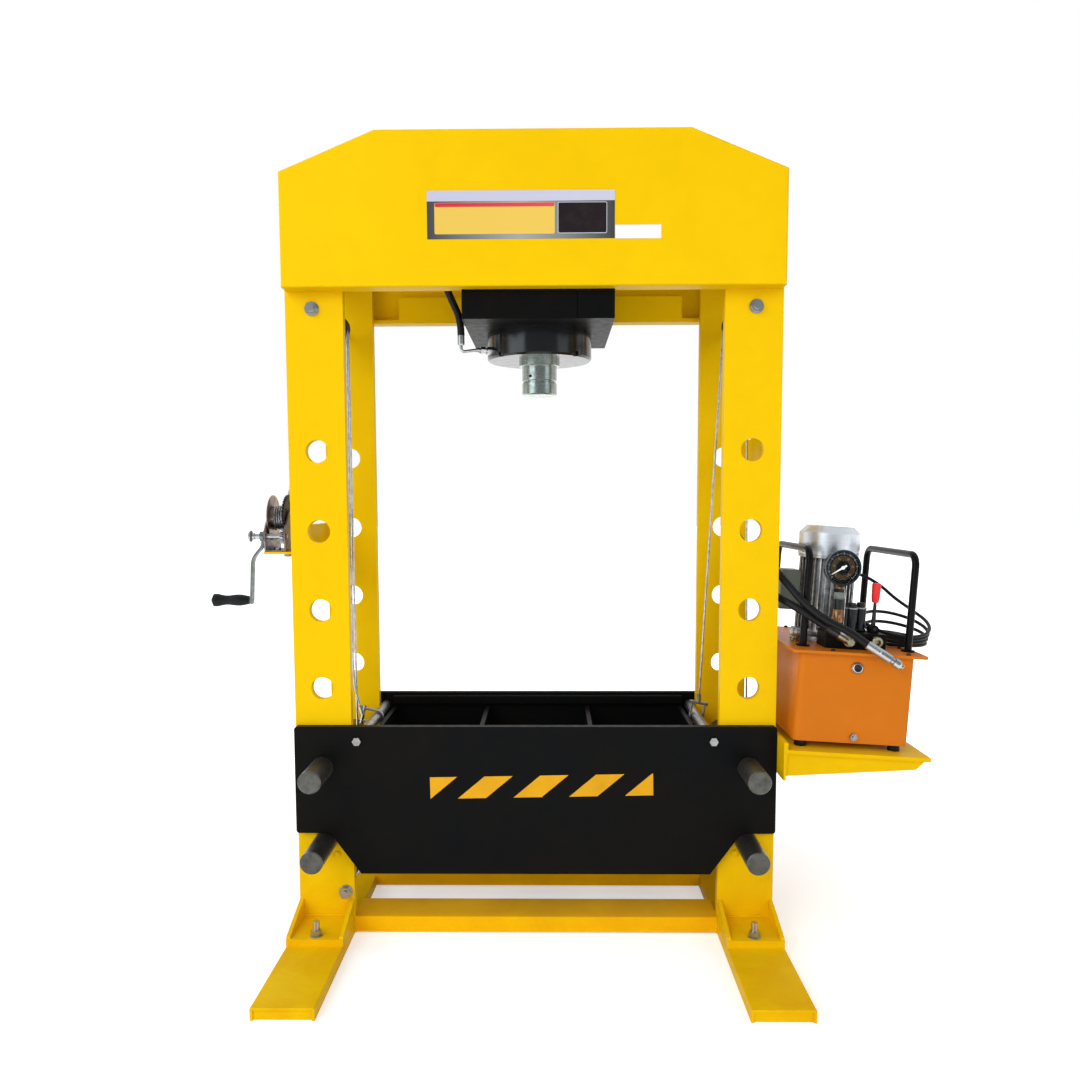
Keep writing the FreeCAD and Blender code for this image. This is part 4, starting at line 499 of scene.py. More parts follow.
def join_colour(tree, red, green, blue):
    """One colour from three values."""
    return add_node(tree, "ShaderNodeCombineColor", {"Red": red, "Green": green, "Blue": blue}).outputs[0]


def noise(tree, vector, scale, detail=3.0, roughness=0.5, distortion=0.0):
    """A noise value between 0 and 1 at a place."""
    made = add_node(tree, "ShaderNodeTexNoise", {
        "Scale": scale, "Detail": detail, "Roughness": roughness, "Distortion": distortion, "Vector": vector,
    })
    return made.outputs["Fac"]


def spread(tree, value, low, high, to_low=0.0, to_high=1.0):
    """Stretch a range of values to another one, and clamp it."""
    made = add_node(tree, "ShaderNodeMapRange", {
        "Value": value, "From Min": low, "From Max": high, "To Min": to_low, "To Max": to_high,
    })
    return made.outputs["Result"]


print("node helpers are ready")

# %% Group: the uneven film of sprayed enamel
film, film_in, film_out = shader_group("enamel_film", [
    ("Colour", "NodeSocketColor", (0.8, 0.6, 0.1, 1)), ("Unevenness", "NodeSocketFloat", 0.1),
    ("Gloss", "NodeSocketFloat", 0.35), ("Dullness", "NodeSocketFloat", 0.1),
], [("Colour", "NodeSocketColor"), ("Roughness", "NodeSocketFloat"), ("Peel", "NodeSocketFloat")])
place = own_place(film)
clouds = noise(film, place, 2.6, 4.0, 0.55)
blotches = noise(film, place, 17.0, 3.0, 0.6, 0.4)
shade = maths(film, "ADD", maths(film, "MULTIPLY", clouds, 0.65), maths(film, "MULTIPLY", blotches, 0.35))
depth = maths(film, "MULTIPLY", spread(film, shade, 0.38, 0.62), film_in.outputs["Unevenness"])
darker = mix_colour(film, 0.62, film_in.outputs["Colour"], (0.02, 0.012, 0.002))
film.links.new(mix_colour(film, depth, film_in.outputs["Colour"], darker), film_out.inputs["Colour"])
haze = spread(film, noise(film, place, 46.0, 5.0, 0.65), 0.35, 0.7)
film.links.new(maths(film, "MULTIPLY_ADD", haze, film_in.outputs["Dullness"], film_in.outputs["Gloss"]),
               film_out.inputs["Roughness"])
waves = maths(film, "MULTIPLY", noise(film, place, 60.0), 1.2)
peel = maths(film, "ADD", noise(film, place, 420.0, 2.0, 0.5), waves)
film.links.new(peel, film_out.inputs["Peel"])
print("made", film.name)

# %% Group: paint rubbed through along edges
rub, rub_in, rub_out = shader_group("edge_rub", [
    ("Width", "NodeSocketFloat", 0.0015), ("Patchiness", "NodeSocketFloat", 0.5),
    ("Amount", "NodeSocketFloat", 1.0),
], [("Mask", "NodeSocketFloat")])
place = own_place(rub)
rounded = add_node(rub, "ShaderNodeBevel", {"Radius": rub_in.outputs["Width"]}, samples=4)
flat = add_node(rub, "ShaderNodeNewGeometry").outputs["Normal"]
agree = add_node(rub, "ShaderNodeVectorMath", {0: rounded.outputs["Normal"], 1: flat}, operation="DOT_PRODUCT")
edge = spread(rub, agree.outputs["Value"], 0.96, 0.84)
patches = spread(rub, noise(rub, place, 60.0, 6.0, 0.7), rub_in.outputs["Patchiness"], 0.78)
rub.links.new(maths(rub, "MULTIPLY", maths(rub, "MULTIPLY", edge, patches), rub_in.outputs["Amount"], clamp=True),
              rub_out.inputs["Mask"])
print("made", rub.name)

# %% Group: workshop dust on faces that look up, and a patchy mask that rises towards the floor
dust, dust_in, dust_out = shader_group("dust_and_low_darkening", [
    ("Amount", "NodeSocketFloat", 0.5), ("Floor Darkening", "NodeSocketFloat", 0.3),
], [("Dust", "NodeSocketFloat"), ("Darkening", "NodeSocketFloat")])
place = own_place(dust)
normal = add_node(dust, "ShaderNodeNewGeometry").outputs["Normal"]
upward = spread(dust, add_node(dust, "ShaderNodeSeparateXYZ", {0: normal}).outputs["Z"], 0.55, 0.98)
drift = spread(dust, noise(dust, place, 9.0, 6.0, 0.65), 0.3, 0.72)
dust.links.new(maths(dust, "MULTIPLY", maths(dust, "MULTIPLY", upward, drift), dust_in.outputs["Amount"]),
               dust_out.inputs["Dust"])
# A patchy mask that rises towards the floor, where it turns the colour darker and more orange.
height = add_node(dust, "ShaderNodeSeparateXYZ", {0: place}).outputs["Z"]
low = spread(dust, height, 0.34, 0.02)
low_patches = spread(dust, noise(dust, place, 6.5, 7.0, 0.7, 0.6), 0.36, 0.66)
dust.links.new(maths(dust, "MULTIPLY", maths(dust, "MULTIPLY", low, low_patches), dust_in.outputs["Floor Darkening"]),
               dust_out.inputs["Darkening"])
print("made", dust.name)

# %% Group: fine lines and stains of machined metal
lathe, lathe_in, lathe_out = shader_group("machined_lines", [
    ("Stretch", "NodeSocketVector", (1, 1, 1)), ("Fineness", "NodeSocketFloat", 900.0),
    ("Colour", "NodeSocketColor", (0.6, 0.6, 0.6, 1)), ("Stain", "NodeSocketColor", (0.3, 0.25, 0.2, 1)),
    ("Staining", "NodeSocketFloat", 0.3), ("Gloss", "NodeSocketFloat", 0.3),
], [("Colour", "NodeSocketColor"), ("Roughness", "NodeSocketFloat"), ("Lines", "NodeSocketFloat")])
place = own_place(lathe)
drawn = add_node(lathe, "ShaderNodeVectorMath", {0: place, 1: lathe_in.outputs["Stretch"]}, operation="MULTIPLY")
lines = noise(lathe, drawn.outputs[0], lathe_in.outputs["Fineness"], 3.0, 0.6)
spots = spread(lathe, noise(lathe, place, 55.0, 6.0, 0.68), 0.42, 0.72)
stained = mix_colour(lathe, maths(lathe, "MULTIPLY", spots, lathe_in.outputs["Staining"]),
                     lathe_in.outputs["Colour"], lathe_in.outputs["Stain"])
streak = spread(lathe, lines, 0.25, 0.75, 0.88, 1.06)
lathe.links.new(mix_colour(lathe, 1.0, stained, join_colour(lathe, streak, streak, streak), "MULTIPLY"),
                lathe_out.inputs["Colour"])
lathe.links.new(maths(lathe, "ADD", maths(lathe, "MULTIPLY", spots, 0.16),
                      maths(lathe, "MULTIPLY_ADD", lines, 0.14, lathe_in.outputs["Gloss"])),
                lathe_out.inputs["Roughness"])
lathe.links.new(lines, lathe_out.inputs["Lines"])
print("made", lathe.name)

# %% [markdown]
# ## Enamel on the frame
# The frame, beams, feet and brackets wear one coat of chrome-yellow gloss enamel, sprayed in a workshop. It
# is a little uneven, its edges are rubbed, and towards the floor its colour turns darker and more orange, as in
# the picture. A flat colour would look like plastic, so the film group varies it and the rub group shows primer.
# The shelf wears a darker copy of the yellow, painted shade, and the rails a brighter one, painted light.
# The black bed, the tank and the terminal box wear the same enamel in other colours; the tank's paler edge
# colour is partly a painted highlight.

# %% Enamel materials
PEEL_DEPTH = 0.00012
RUB_WIDTH = 0.0016
DUST_COLOUR = (0.42, 0.36, 0.27)
DARK_PRIMER = (0.05, 0.05, 0.05)


def enamel(title, colour, gloss, unevenness, rubbed_and_sheen, rub_amount, dusty, low_darkening, specular,
           low_colour=(0.72, 0.33, 0.003)):
    """Sprayed enamel with an uneven film, edge wear, dust, and a colour that turns darker and more orange
    towards the floor. A paler edge colour, as on the tank, makes the edge wear partly a painted highlight.
    """
    material, tree, shader = new_material(title)
    coatings = place_group(tree, film, {"Colour": (*colour, 1), "Unevenness": unevenness, "Gloss": gloss,
                                        "Dullness": 0.12})
    edge_wear_and_sheen = place_group(tree, rub, {"Width": RUB_WIDTH, "Patchiness": 0.48, "Amount": rub_amount})
    dust_and_low_masks = place_group(tree, dust, {"Amount": dusty, "Floor Darkening": low_darkening})
    # Towards the floor the colour turns darker and more orange.
    shown = mix_colour(tree, dust_and_low_masks.outputs["Darkening"], coatings.outputs["Colour"], low_colour)
    shown = mix_colour(tree, dust_and_low_masks.outputs["Dust"], shown, DUST_COLOUR)
    shown = mix_colour(tree, edge_wear_and_sheen.outputs["Mask"], shown, rubbed_and_sheen)
    tree.links.new(shown, shader.inputs["Base Color"])
    rough = maths(tree, "MULTIPLY_ADD", dust_and_low_masks.outputs["Dust"], 0.5, coatings.outputs["Roughness"])
    rough = maths(tree, "MULTIPLY_ADD", dust_and_low_masks.outputs["Darkening"], 0.25, rough, clamp=True)
    tree.links.new(rough, shader.inputs["Roughness"])
    roughen(tree, shader, 0.35, PEEL_DEPTH, coatings.outputs["Peel"])
    shader.inputs["Specular IOR Level"].default_value = specular
    return material


yellow = enamel("yellow_enamel", (0.860, 0.535, 0.0015), 0.34, 0.10, (0.60, 0.36, 0.02), 0.45, 0.01, 0.55, 0.04)
# The shelf's enamel is a darker copy of the frame's yellow: painted shade on the bracket.
shaded_shelf_yellow = enamel("shelf_enamel_painted_shade", (0.83, 0.500, 0.0015), 0.36, 0.14, (0.50, 0.28, 0.02), 0.45, 0.04, 0.0, 0.04)
# The rails' enamel is a brighter copy of the frame's yellow, also brighter towards the floor: painted light on
# rails that the bed shades.
lit_rail_yellow = enamel("rail_enamel_painted_light", (0.98, 0.520, 0.0015), 0.36, 0.16, (0.60, 0.30, 0.02), 0.45, 0.04, 0.5, 0.04,
                     low_colour=(0.80, 0.34, 0.002))
black = enamel("black_enamel", (0.0036, 0.0040, 0.0046), 0.36, 0.25, DARK_PRIMER, 0.5, 0.02, 0.0, 0.05)
gloss_black = enamel("gloss_black_enamel", (0.0040, 0.0052, 0.0062), 0.12, 0.2, DARK_PRIMER, 0.5, 0.02, 0.0, 0.5)
tube_black = enamel("tube_enamel", (0.0030, 0.0034, 0.0040), 0.22, 0.2, DARK_PRIMER, 0.3, 0.0, 0.0, 0.10)
coil_black = enamel("coil_enamel", (0.0035, 0.0050, 0.0080), 0.16, 0.2, DARK_PRIMER, 0.1, 0.0, 0.0, 0.25)
# The tank's edge colour is paler than its orange: edge wear, and also a painted highlight along its rounded
# corners.
orange = enamel("orange_enamel", (0.62, 0.168, 0.006), 0.30, 0.10, (0.60, 0.24, 0.06), 0.35, 0.04, 0.0, 0.12)
box_grey = enamel("box_enamel", (0.165, 0.190, 0.165), 0.30, 0.14, (0.30, 0.30, 0.31), 0.4, 0.04, 0.0, 0.4)
print("enamels:", yellow.name, black.name, gloss_black.name, orange.name, box_grey.name)

# %% [markdown]
# ## Bare and plated metal
# The pins and ram are turned steel, the bolts and winch are zinc plated, the winch's rope is greasy wire.
# All of them share the machined-line group, stretched along the direction in which each was cut. The cast motor's
# colour also carries painted shade, darker between its fins.

# %% Metal materials
def machined(title, colour, stain_and_shade, staining, gloss, stretch, fineness=500.0, metallic=1.0, depth=0.00006,
             zones=(), painted_shade_reach=0.0):
    """Cut, turned or plated metal with fine lines and stains. A zone recolours what lies between two places
    on an axis. The last argument is the reach of a painted shade: ambient occlusion darkens the metal in
    corners and narrow spaces towards the colour of its stains."""
    material, tree, shader = new_material(title)
    cut = place_group(tree, lathe, {"Stretch": stretch, "Fineness": fineness, "Colour": (*colour, 1),
                                    "Stain": (*stain_and_shade, 1), "Staining": staining, "Gloss": gloss})
    shown = cut.outputs["Colour"]
    for axis, low, high, other in zones:
        along = add_node(tree, "ShaderNodeSeparateXYZ", {0: own_place(tree)}).outputs[axis]
        inside = maths(tree, "MULTIPLY", maths(tree, "GREATER_THAN", along, low),
                       maths(tree, "LESS_THAN", along, high))
        shown = mix_colour(tree, inside, shown, mix_colour(tree, 1.0, cut.outputs["Colour"], other, "MULTIPLY"))
    # Painted shade: ambient occlusion darkens corners and narrow spaces towards the colour of the stains.
    if painted_shade_reach:
        open_sky = add_node(tree, "ShaderNodeAmbientOcclusion", {"Distance": painted_shade_reach}, samples=8).outputs["AO"]
        shown = mix_colour(tree, spread(tree, open_sky, 0.25, 0.85, 0.85, 0.0), shown, stain_and_shade)
    tree.links.new(shown, shader.inputs["Base Color"])
    tree.links.new(cut.outputs["Roughness"], shader.inputs["Roughness"])
    roughen(tree, shader, 0.4, depth, cut.outputs["Lines"])
    shader.inputs["Metallic"].default_value = metallic
    return material


EVENLY = (1, 1, 1)
PIN_CUT_END = 0.3505
PIN_END_COLOUR = (0.45, 0.47, 0.45)
TIP_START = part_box("hose_coupler")[1][0] - 0.010
pin_metal = machined("oiled_pin_steel", (0.26, 0.255, 0.24), (0.13, 0.12, 0.10), 0.6, 0.34, (0.04, 1, 0.04),
                     zones=[("Y", -1, -PIN_CUT_END, PIN_END_COLOUR), ("Y", PIN_CUT_END, 1, PIN_END_COLOUR)])
ram_metal = machined("ground_ram_steel", (0.40, 0.47, 0.445), (0.16, 0.13, 0.09), 0.5, 0.15, (0.06, 0.06, 1),
                     depth=0.00002)
zinc = machined("zinc_plate", (0.52, 0.54, 0.56), (0.26, 0.25, 0.22), 0.5, 0.24, EVENLY, 220.0)
dark_metal = machined("blackened_steel", (0.06, 0.058, 0.056), (0.03, 0.027, 0.024), 0.6, 0.42, EVENLY, 300.0)
rope_metal = machined("greased_wire", (0.60, 0.63, 0.67), (0.15, 0.13, 0.12), 0.7, 0.30, EVENLY, 400.0)
brass = machined("olive_brass", (0.40, 0.37, 0.28), (0.16, 0.13, 0.09), 0.6, 0.20, EVENLY, 260.0)
copper = machined("warm_brass", (0.42, 0.22, 0.10), (0.14, 0.08, 0.04), 0.6, 0.24, EVENLY, 260.0)
arm_metal = machined("forged_arm", (0.20, 0.235, 0.235), (0.09, 0.09, 0.08), 0.6, 0.30, (1, 1, 0.1), 240.0)
# The motor's cast metal carries painted shade between its fins.
cast_silver = machined("cast_motor", (0.62, 0.63, 0.65), (0.030, 0.024, 0.020), 0.75, 0.24, (1, 1, 0.10), 260.0,
                       metallic=0.85, painted_shade_reach=0.014)
cowl_silver = machined("brushed_cowl", (0.72, 0.76, 0.81), (0.55, 0.54, 0.52), 0.25, 0.26, (0.05, 0.05, 1), 300.0,
                       depth=0.00002)
rod_metal = machined("tie_rod_steel", (0.40, 0.40, 0.40), (0.18, 0.16, 0.14), 0.5, 0.28, (1, 0.05, 1))
drum_metal = machined("winch_drum_plate", (0.50, 0.53, 0.58), (0.10, 0.09, 0.08), 0.7, 0.24, EVENLY, 260.0,
                      zones=[("X", -1, -0.7250, (0.80, 0.52, 0.36))])
winch_metal = machined("passivated_winch", (0.28, 0.22, 0.21), (0.07, 0.05, 0.045), 0.7, 0.30, EVENLY, 240.0)
fitting_metal = machined("pack_fitting_metal", (0.52, 0.53, 0.54), (0.24, 0.22, 0.2), 0.5, 0.2, EVENLY, 260.0,
                         zones=[("Z", 0.7625, 0.80, (0.62, 0.55, 0.36)), ("Z", 0.3, 0.62, (0.50, 0.53, 0.56))])
coupler_metal = machined("coupler_metal", (0.52, 0.55, 0.57), (0.24, 0.24, 0.24), 0.5, 0.18, EVENLY, 260.0,
                         zones=[("X", TIP_START, 2, (0.80, 0.62, 0.36))])
print("metals:", pin_metal.name, zinc.name, rope_metal.name, cast_silver.name)

# %% [markdown]
# ## Rubber and plastic
# Hoses, lead, feet and the crank's grip are black rubber or moulded plastic: dark, barely shiny, with a fine
# grain. The knob is a warm red and the gauge a glossy black.

# %% Rubber and plastic materials
def moulded(title, colour, gloss, grain=700.0, depth=0.00008, dusty=0.15, specular=0.4):
    """Moulded rubber or plastic with a fine grain and a little dust."""
    material, tree, shader = new_material(title)
    place = own_place(tree)
    grains = noise(tree, place, grain, 4.0, 0.6)
    fade = spread(tree, noise(tree, place, 24.0, 5.0, 0.6), 0.35, 0.7, 0.0, 0.30)
    dust_and_low_masks = place_group(tree, dust, {"Amount": dusty, "Floor Darkening": 0.0})
    paler = tuple(min(1, c * 1.8 + 0.003) for c in colour)
    shown = mix_colour(tree, fade, colour, paler)
    shown = mix_colour(tree, dust_and_low_masks.outputs["Dust"], shown, (0.30, 0.27, 0.22))
    tree.links.new(shown, shader.inputs["Base Color"])
    tree.links.new(maths(tree, "MULTIPLY_ADD", grains, 0.18, gloss), shader.inputs["Roughness"])
    roughen(tree, shader, 0.5, depth, grains)
    shader.inputs["Specular IOR Level"].default_value = specular
    return material


rubber = moulded("black_rubber", (0.0050, 0.0052, 0.0056), 0.36, dusty=0.04, specular=0.22)
grip_rubber = moulded("grip_rubber", (0.0045, 0.0055, 0.0065), 0.42, 420.0, 0.0002, 0.04, 0.2)
gauge_plastic = moulded("gauge_black", (0.006, 0.0065, 0.007), 0.18, 900.0, 0.00003, 0.04, 0.3)
fan_plastic = moulded("fan_plastic", (0.02, 0.02, 0.021), 0.45)
red_plastic = moulded("knob_red", (0.72, 0.018, 0.012), 0.28, 900.0, 0.00003)
white_paint = moulded("needle_white", (0.80, 0.81, 0.80), 0.35, 900.0, 0.00002)
print("moulded:", rubber.name, grip_rubber.name, gauge_plastic.name, red_plastic.name)

# %% [markdown]
# ## Dress the rigid solids
# Each imported solid keeps its mesh and takes the material of its slot. Where one slot covers things that look
# different in the picture, such as the winch's golden disc, the solid gets a material of its own. The shelf and
# the cross rails get a darker and a brighter copy of the frame's enamel: painted shade and painted light.

# %% Give each solid its material
slot_finish = {
    "frame_paint": yellow, "black_paint": black, "pin_steel": pin_metal, "ram_steel": ram_metal,
    "zinc_steel": zinc, "dark_steel": dark_metal, "wire_rope": rope_metal, "tank_paint": orange,
    "motor_paint": cast_silver, "cowl_paint": cowl_silver, "fan_plastic": fan_plastic, "brass": brass,
    "black_rubber": rubber, "gauge_black": gauge_plastic, "needle_white": white_paint, "knob_red": red_plastic,
}
own_finish = {
    "crank_grip": grip_rubber, "crank_arm": arm_metal, "winch_drum": drum_metal, "winch_frame": winch_metal,
    "drum_gear": dark_metal, "bed_tie_rods": rod_metal, "cylinder_barrel": gloss_black,
    "pack_fittings": fitting_metal, "hose_coupler": coupler_metal, "terminal_box": box_grey,
    "carry_hoops": tube_black, "valve_cartridges": coil_black, "pack_shelf": shaded_shelf_yellow,
    "cross_rails": lit_rail_yellow,
}
for entry in frame["record"]["subparts"]:
    finish = own_finish.get(entry["node"], slot_finish[entry["material_slot"]])
    nodes[entry["node"]].material_slots[0].material = finish

# %% Hang the cords on the press
for title, (mesh, line, total, start, far_end) in hoses.items():
    hose = finish_piece(title, mesh, rubber, "press")
    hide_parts("hose_front" if title == "rubber_hose_front" else "hose_rear")
lead = finish_piece("mains_lead", lead_mesh, rubber, "press")
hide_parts("power_lead", "lead_coil")
for title, (mesh, line, total) in ropes.items():
    rope = finish_piece(title, mesh, rope_metal, "press")
    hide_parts("rope_left" if title == "wire_rope_left" else "rope_right")
winding = finish_piece("wound_rope", winding_mesh, rope_metal, "drum")
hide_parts("drum_winding")
print("cords hang:", list(hoses), lead.name, list(ropes), winding.name)

# %% [markdown]
# ## Screws, studs and nuts
# Fasteners repeat, so one head of each kind is modelled and Geometry Nodes puts it on points. Each point
# carries the direction that its screw faces and its size. A seed turns every head by its own angle, because
# nobody lines up screw heads. The tree makes the copies real and sets their finish.

# %% Loft a small solid from rings
def hexagonal(flats):
    """Radius of a hexagon at an angle, for a width across flats."""
    return lambda angle: flats / 2 / math.cos((angle + math.pi / 6) % (math.pi / 3) - math.pi / 6)


def loft(title, rings, sides=24):
    """A closed solid from rings, each a height and a radius that may change with the angle."""
    placed = []
    for height, reach in rings:
        ring = []
        for n in range(sides):
            angle = 2 * math.pi * n / sides
            out = reach(angle) if callable(reach) else reach
            ring.append((out * math.cos(angle), out * math.sin(angle), height))
        placed.append(ring)
    return skin(title, placed)


socket_head = loft("socket_head", [
    (-0.1, 1.0), (0.78, 1.0), (0.92, 0.90), (0.92, hexagonal(1.10)), (0.30, hexagonal(1.10)), (0.22, 0.1),
])
hex_head = loft("hex_head", [
    (-0.1, 1.25), (0.10, 1.25), (0.11, hexagonal(1.9)), (0.80, hexagonal(1.9)), (0.92, 0.84), (0.94, 0.1),
])
stud_head = loft("stud_head", [(-0.1, 1.0), (0.18, 1.0), (0.42, 0.88), (0.60, 0.62), (0.68, 0.2)])
print("heads:", len(socket_head.vertices), len(hex_head.vertices), len(stud_head.vertices), "vertices")

# %% A tree that sets heads on points
FULL_TURN = 6.283


def geometry_tree(title, inputs):
    """An empty geometry tree with named inputs."""
    tree = bpy.data.node_groups.new(title, "GeometryNodeTree")
    tree.interface.new_socket("Geometry", in_out="INPUT", socket_type="NodeSocketGeometry")
    for name, kind, value in inputs:
        socket = tree.interface.new_socket(name, in_out="INPUT", socket_type=kind)
        if value is not None:
            socket.default_value = value
    tree.interface.new_socket("Geometry", in_out="OUTPUT", socket_type="NodeSocketGeometry")
    return tree, tree.nodes.new("NodeGroupInput"), tree.nodes.new("NodeGroupOutput")


def grow(title, tree, values, seed_mesh=None):
    """Run a geometry tree with its inputs set, and keep the result as a plain mesh."""
    holder = link_object(title + "_seed", seed_mesh or bpy.data.meshes.new(title + "_seed"))
    modifier = holder.modifiers.new("grow", "NODES")
    modifier.node_group = tree
    for item in tree.interface.items_tree:
        if item.item_type == "SOCKET" and item.in_out == "INPUT" and item.name in values:
            modifier[item.identifier] = values[item.name]
    made = plain_mesh(holder)
    made.name = title
    return made


heads_tree, heads_in, heads_out = geometry_tree("fasteners", [
    ("Head", "NodeSocketObject", None), ("Finish", "NodeSocketMaterial", None), ("Seed", "NodeSocketInt", 1),
])
facing = add_node(heads_tree, "GeometryNodeInputNamedAttribute", {"Name": "facing"}, data_type="FLOAT_VECTOR")
reach = add_node(heads_tree, "GeometryNodeInputNamedAttribute", {"Name": "reach"}, data_type="FLOAT")
aimed = add_node(heads_tree, "FunctionNodeAlignRotationToVector", {"Vector": facing.outputs["Attribute"]},
                 axis="Z")
spun = add_node(heads_tree, "FunctionNodeRandomValue", {"Seed": heads_in.outputs["Seed"]}, data_type="FLOAT")
spun.inputs[3].default_value = FULL_TURN
about = add_node(heads_tree, "FunctionNodeAxisAngleToRotation", {"Axis": (0, 0, 1), "Angle": spun.outputs[1]})
turned = add_node(heads_tree, "FunctionNodeRotateRotation", {
    "Rotation": aimed.outputs[0], "Rotate By": about.outputs[0]}, rotation_space="LOCAL")
head = add_node(heads_tree, "GeometryNodeObjectInfo", {"Object": heads_in.outputs["Head"]})
copies = add_node(heads_tree, "GeometryNodeInstanceOnPoints", {
    "Points": heads_in.outputs["Geometry"], "Instance": head.outputs["Geometry"],
    "Rotation": turned.outputs[0], "Scale": reach.outputs["Attribute"]})
real = add_node(heads_tree, "GeometryNodeRealizeInstances", {"Geometry": copies.outputs[0]})
dressed = add_node(heads_tree, "GeometryNodeSetMaterial", {
    "Geometry": real.outputs[0], "Material": heads_in.outputs["Finish"]})
heads_tree.links.new(dressed.outputs[0], heads_out.inputs[0])


def set_heads(title, head_mesh, places, material, seed):
    """Put a head on each place of the press: a point, the direction it faces and its radius."""
    seeds = bpy.data.meshes.new(title + "_points")
    seeds.from_pydata([tuple(p) for p, _, _ in places], [], [])
    seeds.attributes.new("facing", "FLOAT_VECTOR", "POINT")
    seeds.attributes.new("reach", "FLOAT", "POINT")
    for k, (_, direction, radius) in enumerate(places):
        seeds.attributes["facing"].data[k].vector = direction
        seeds.attributes["reach"].data[k].value = radius
    template = link_object(title + "_head", head_mesh)
    made = grow(title, heads_tree, {"Head": template, "Finish": material, "Seed": seed}, seeds)
    bpy.data.objects.remove(template)
    print(title, "has", len(made.vertices), "vertices")
    return finish_piece(title, made, None, "press", smooth=False)


# %% Set the screws of the pack, the studs of the columns and the winch's nuts
COWL_RADIUS = 79.8
COWL_SCREW_HEIGHT = 489
pack_up = (pack_point(0, 0, 1) - pack_point(0, 0, 0)).normalized()
to_front = Vector((0, -1, 0))
lid_screws = [(pack_point(u, y, LID_TOP), pack_up, 0.0052) for u, y in (
    (47, -70), (102, -143), (102, -256), (205, -259), (290, -256), (309, -146), (330, 60), (95, 176), (240, 176))]
set_heads("lid_screws", socket_head, lid_screws, dark_metal, 4)
stud_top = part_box("bar_front_left")[0][1]
studs = [(Vector((x, stud_top, z)), to_front, 0.0095) for x, z in ((-0.521, 0.213), (0.523, 0.219))]
set_heads("bar_studs", stud_head, studs, yellow, 2)
winch_nuts = [(Vector((x, y, 0.997)), Vector((0, 0, -1)), 0.0088) for x, y in ((-0.676, -0.05), (-0.676, 0.05))]
winch_nuts += [(Vector((x, y, 1.007)), Vector((0, 0, 1)), 0.008) for x, y in ((-0.704, -0.05), (-0.704, 0.05))]
set_heads("winch_nuts", hex_head, winch_nuts, zinc, 9)
cowl_screws = []
for k in range(3):
    angle = math.radians(200 + 120 * k)
    out = Vector((math.cos(angle) * math.cos(SAG), math.sin(angle), -math.cos(angle) * math.sin(SAG)))
    seat = pack_point(134 + COWL_RADIUS * math.cos(angle), -45 + COWL_RADIUS * math.sin(angle), COWL_SCREW_HEIGHT)
    cowl_screws.append((seat, out, 0.0035))
set_heads("cowl_screws", socket_head, cowl_screws, zinc, 3)

# %% [markdown]
# ## The hazard bars on the bed
# Slanted amber bars are sprayed on the bed's front through a stencil. Geometry Nodes lays out flat bars at one
# pitch, shears them, and clamps their ends to the stencil's upright edges, so that the first and last bars
# come out as cut corners. A film of paint this thin needs only a hair of thickness to stand on the plate.

# %% Grow the hazard bars
PAINT_FILM = 0.0003
BARS_HEIGHT = 0.4035
BARS_LEAN = -0.018
bars_tree, bars_in, bars_out = geometry_tree("slanted_bars", [
    ("Count", "NodeSocketInt", 5), ("Pitch", "NodeSocketFloat", 0.144), ("Bar", "NodeSocketFloat", 0.073),
    ("Slant", "NodeSocketFloat", 0.070), ("Height", "NodeSocketFloat", 0.057),
    ("Start", "NodeSocketFloat", -0.344), ("Left", "NodeSocketFloat", -0.271), ("Right", "NodeSocketFloat", 0.305),
    ("Finish", "NodeSocketMaterial", None),
])
row = add_node(bars_tree, "GeometryNodeMeshLine", {
    "Count": bars_in.outputs["Count"], "Start Location": (0, 0, 0),
    "Offset": add_node(bars_tree, "ShaderNodeCombineXYZ", {"X": bars_in.outputs["Pitch"]}).outputs[0]})
bar = add_node(bars_tree, "GeometryNodeMeshGrid", {
    "Size X": bars_in.outputs["Bar"], "Size Y": bars_in.outputs["Height"], "Vertices X": 9, "Vertices Y": 9})
laid = add_node(bars_tree, "GeometryNodeInstanceOnPoints", {
    "Points": row.outputs[0], "Instance": bar.outputs["Mesh"]})
joined = add_node(bars_tree, "GeometryNodeRealizeInstances", {"Geometry": laid.outputs[0]})
at = add_node(bars_tree, "GeometryNodeInputPosition").outputs[0]
spot = add_node(bars_tree, "ShaderNodeSeparateXYZ", {0: at})
share = maths(bars_tree, "ADD", maths(bars_tree, "DIVIDE", spot.outputs["Y"], bars_in.outputs["Height"]), 0.5)
half_bar = maths(bars_tree, "MULTIPLY", bars_in.outputs["Bar"], 0.5)
moved = maths(bars_tree, "ADD", maths(bars_tree, "ADD", spot.outputs["X"], half_bar), bars_in.outputs["Start"])
sheared = maths(bars_tree, "ADD", moved, maths(bars_tree, "MULTIPLY", share, bars_in.outputs["Slant"]))
kept = maths(bars_tree, "MINIMUM", maths(bars_tree, "MAXIMUM", sheared, bars_in.outputs["Left"]),
             bars_in.outputs["Right"])
placed = add_node(bars_tree, "GeometryNodeSetPosition", {
    "Geometry": joined.outputs[0],
    "Position": add_node(bars_tree, "ShaderNodeCombineXYZ", {"X": kept, "Y": spot.outputs["Y"]}).outputs[0]})
thick = add_node(bars_tree, "GeometryNodeExtrudeMesh", {
    "Mesh": placed.outputs[0], "Offset": (0, 0, 1), "Offset Scale": PAINT_FILM, "Individual": False})
sprayed = add_node(bars_tree, "GeometryNodeSetMaterial", {
    "Geometry": thick.outputs["Mesh"], "Material": bars_in.outputs["Finish"]})
bars_tree.links.new(sprayed.outputs[0], bars_out.inputs[0])
amber = enamel("amber_stencil_paint", (0.79, 0.385, 0.004), 0.42, 0.35, (0.10, 0.07, 0.02), 0.3, 0.05, 0.0, 0.2)
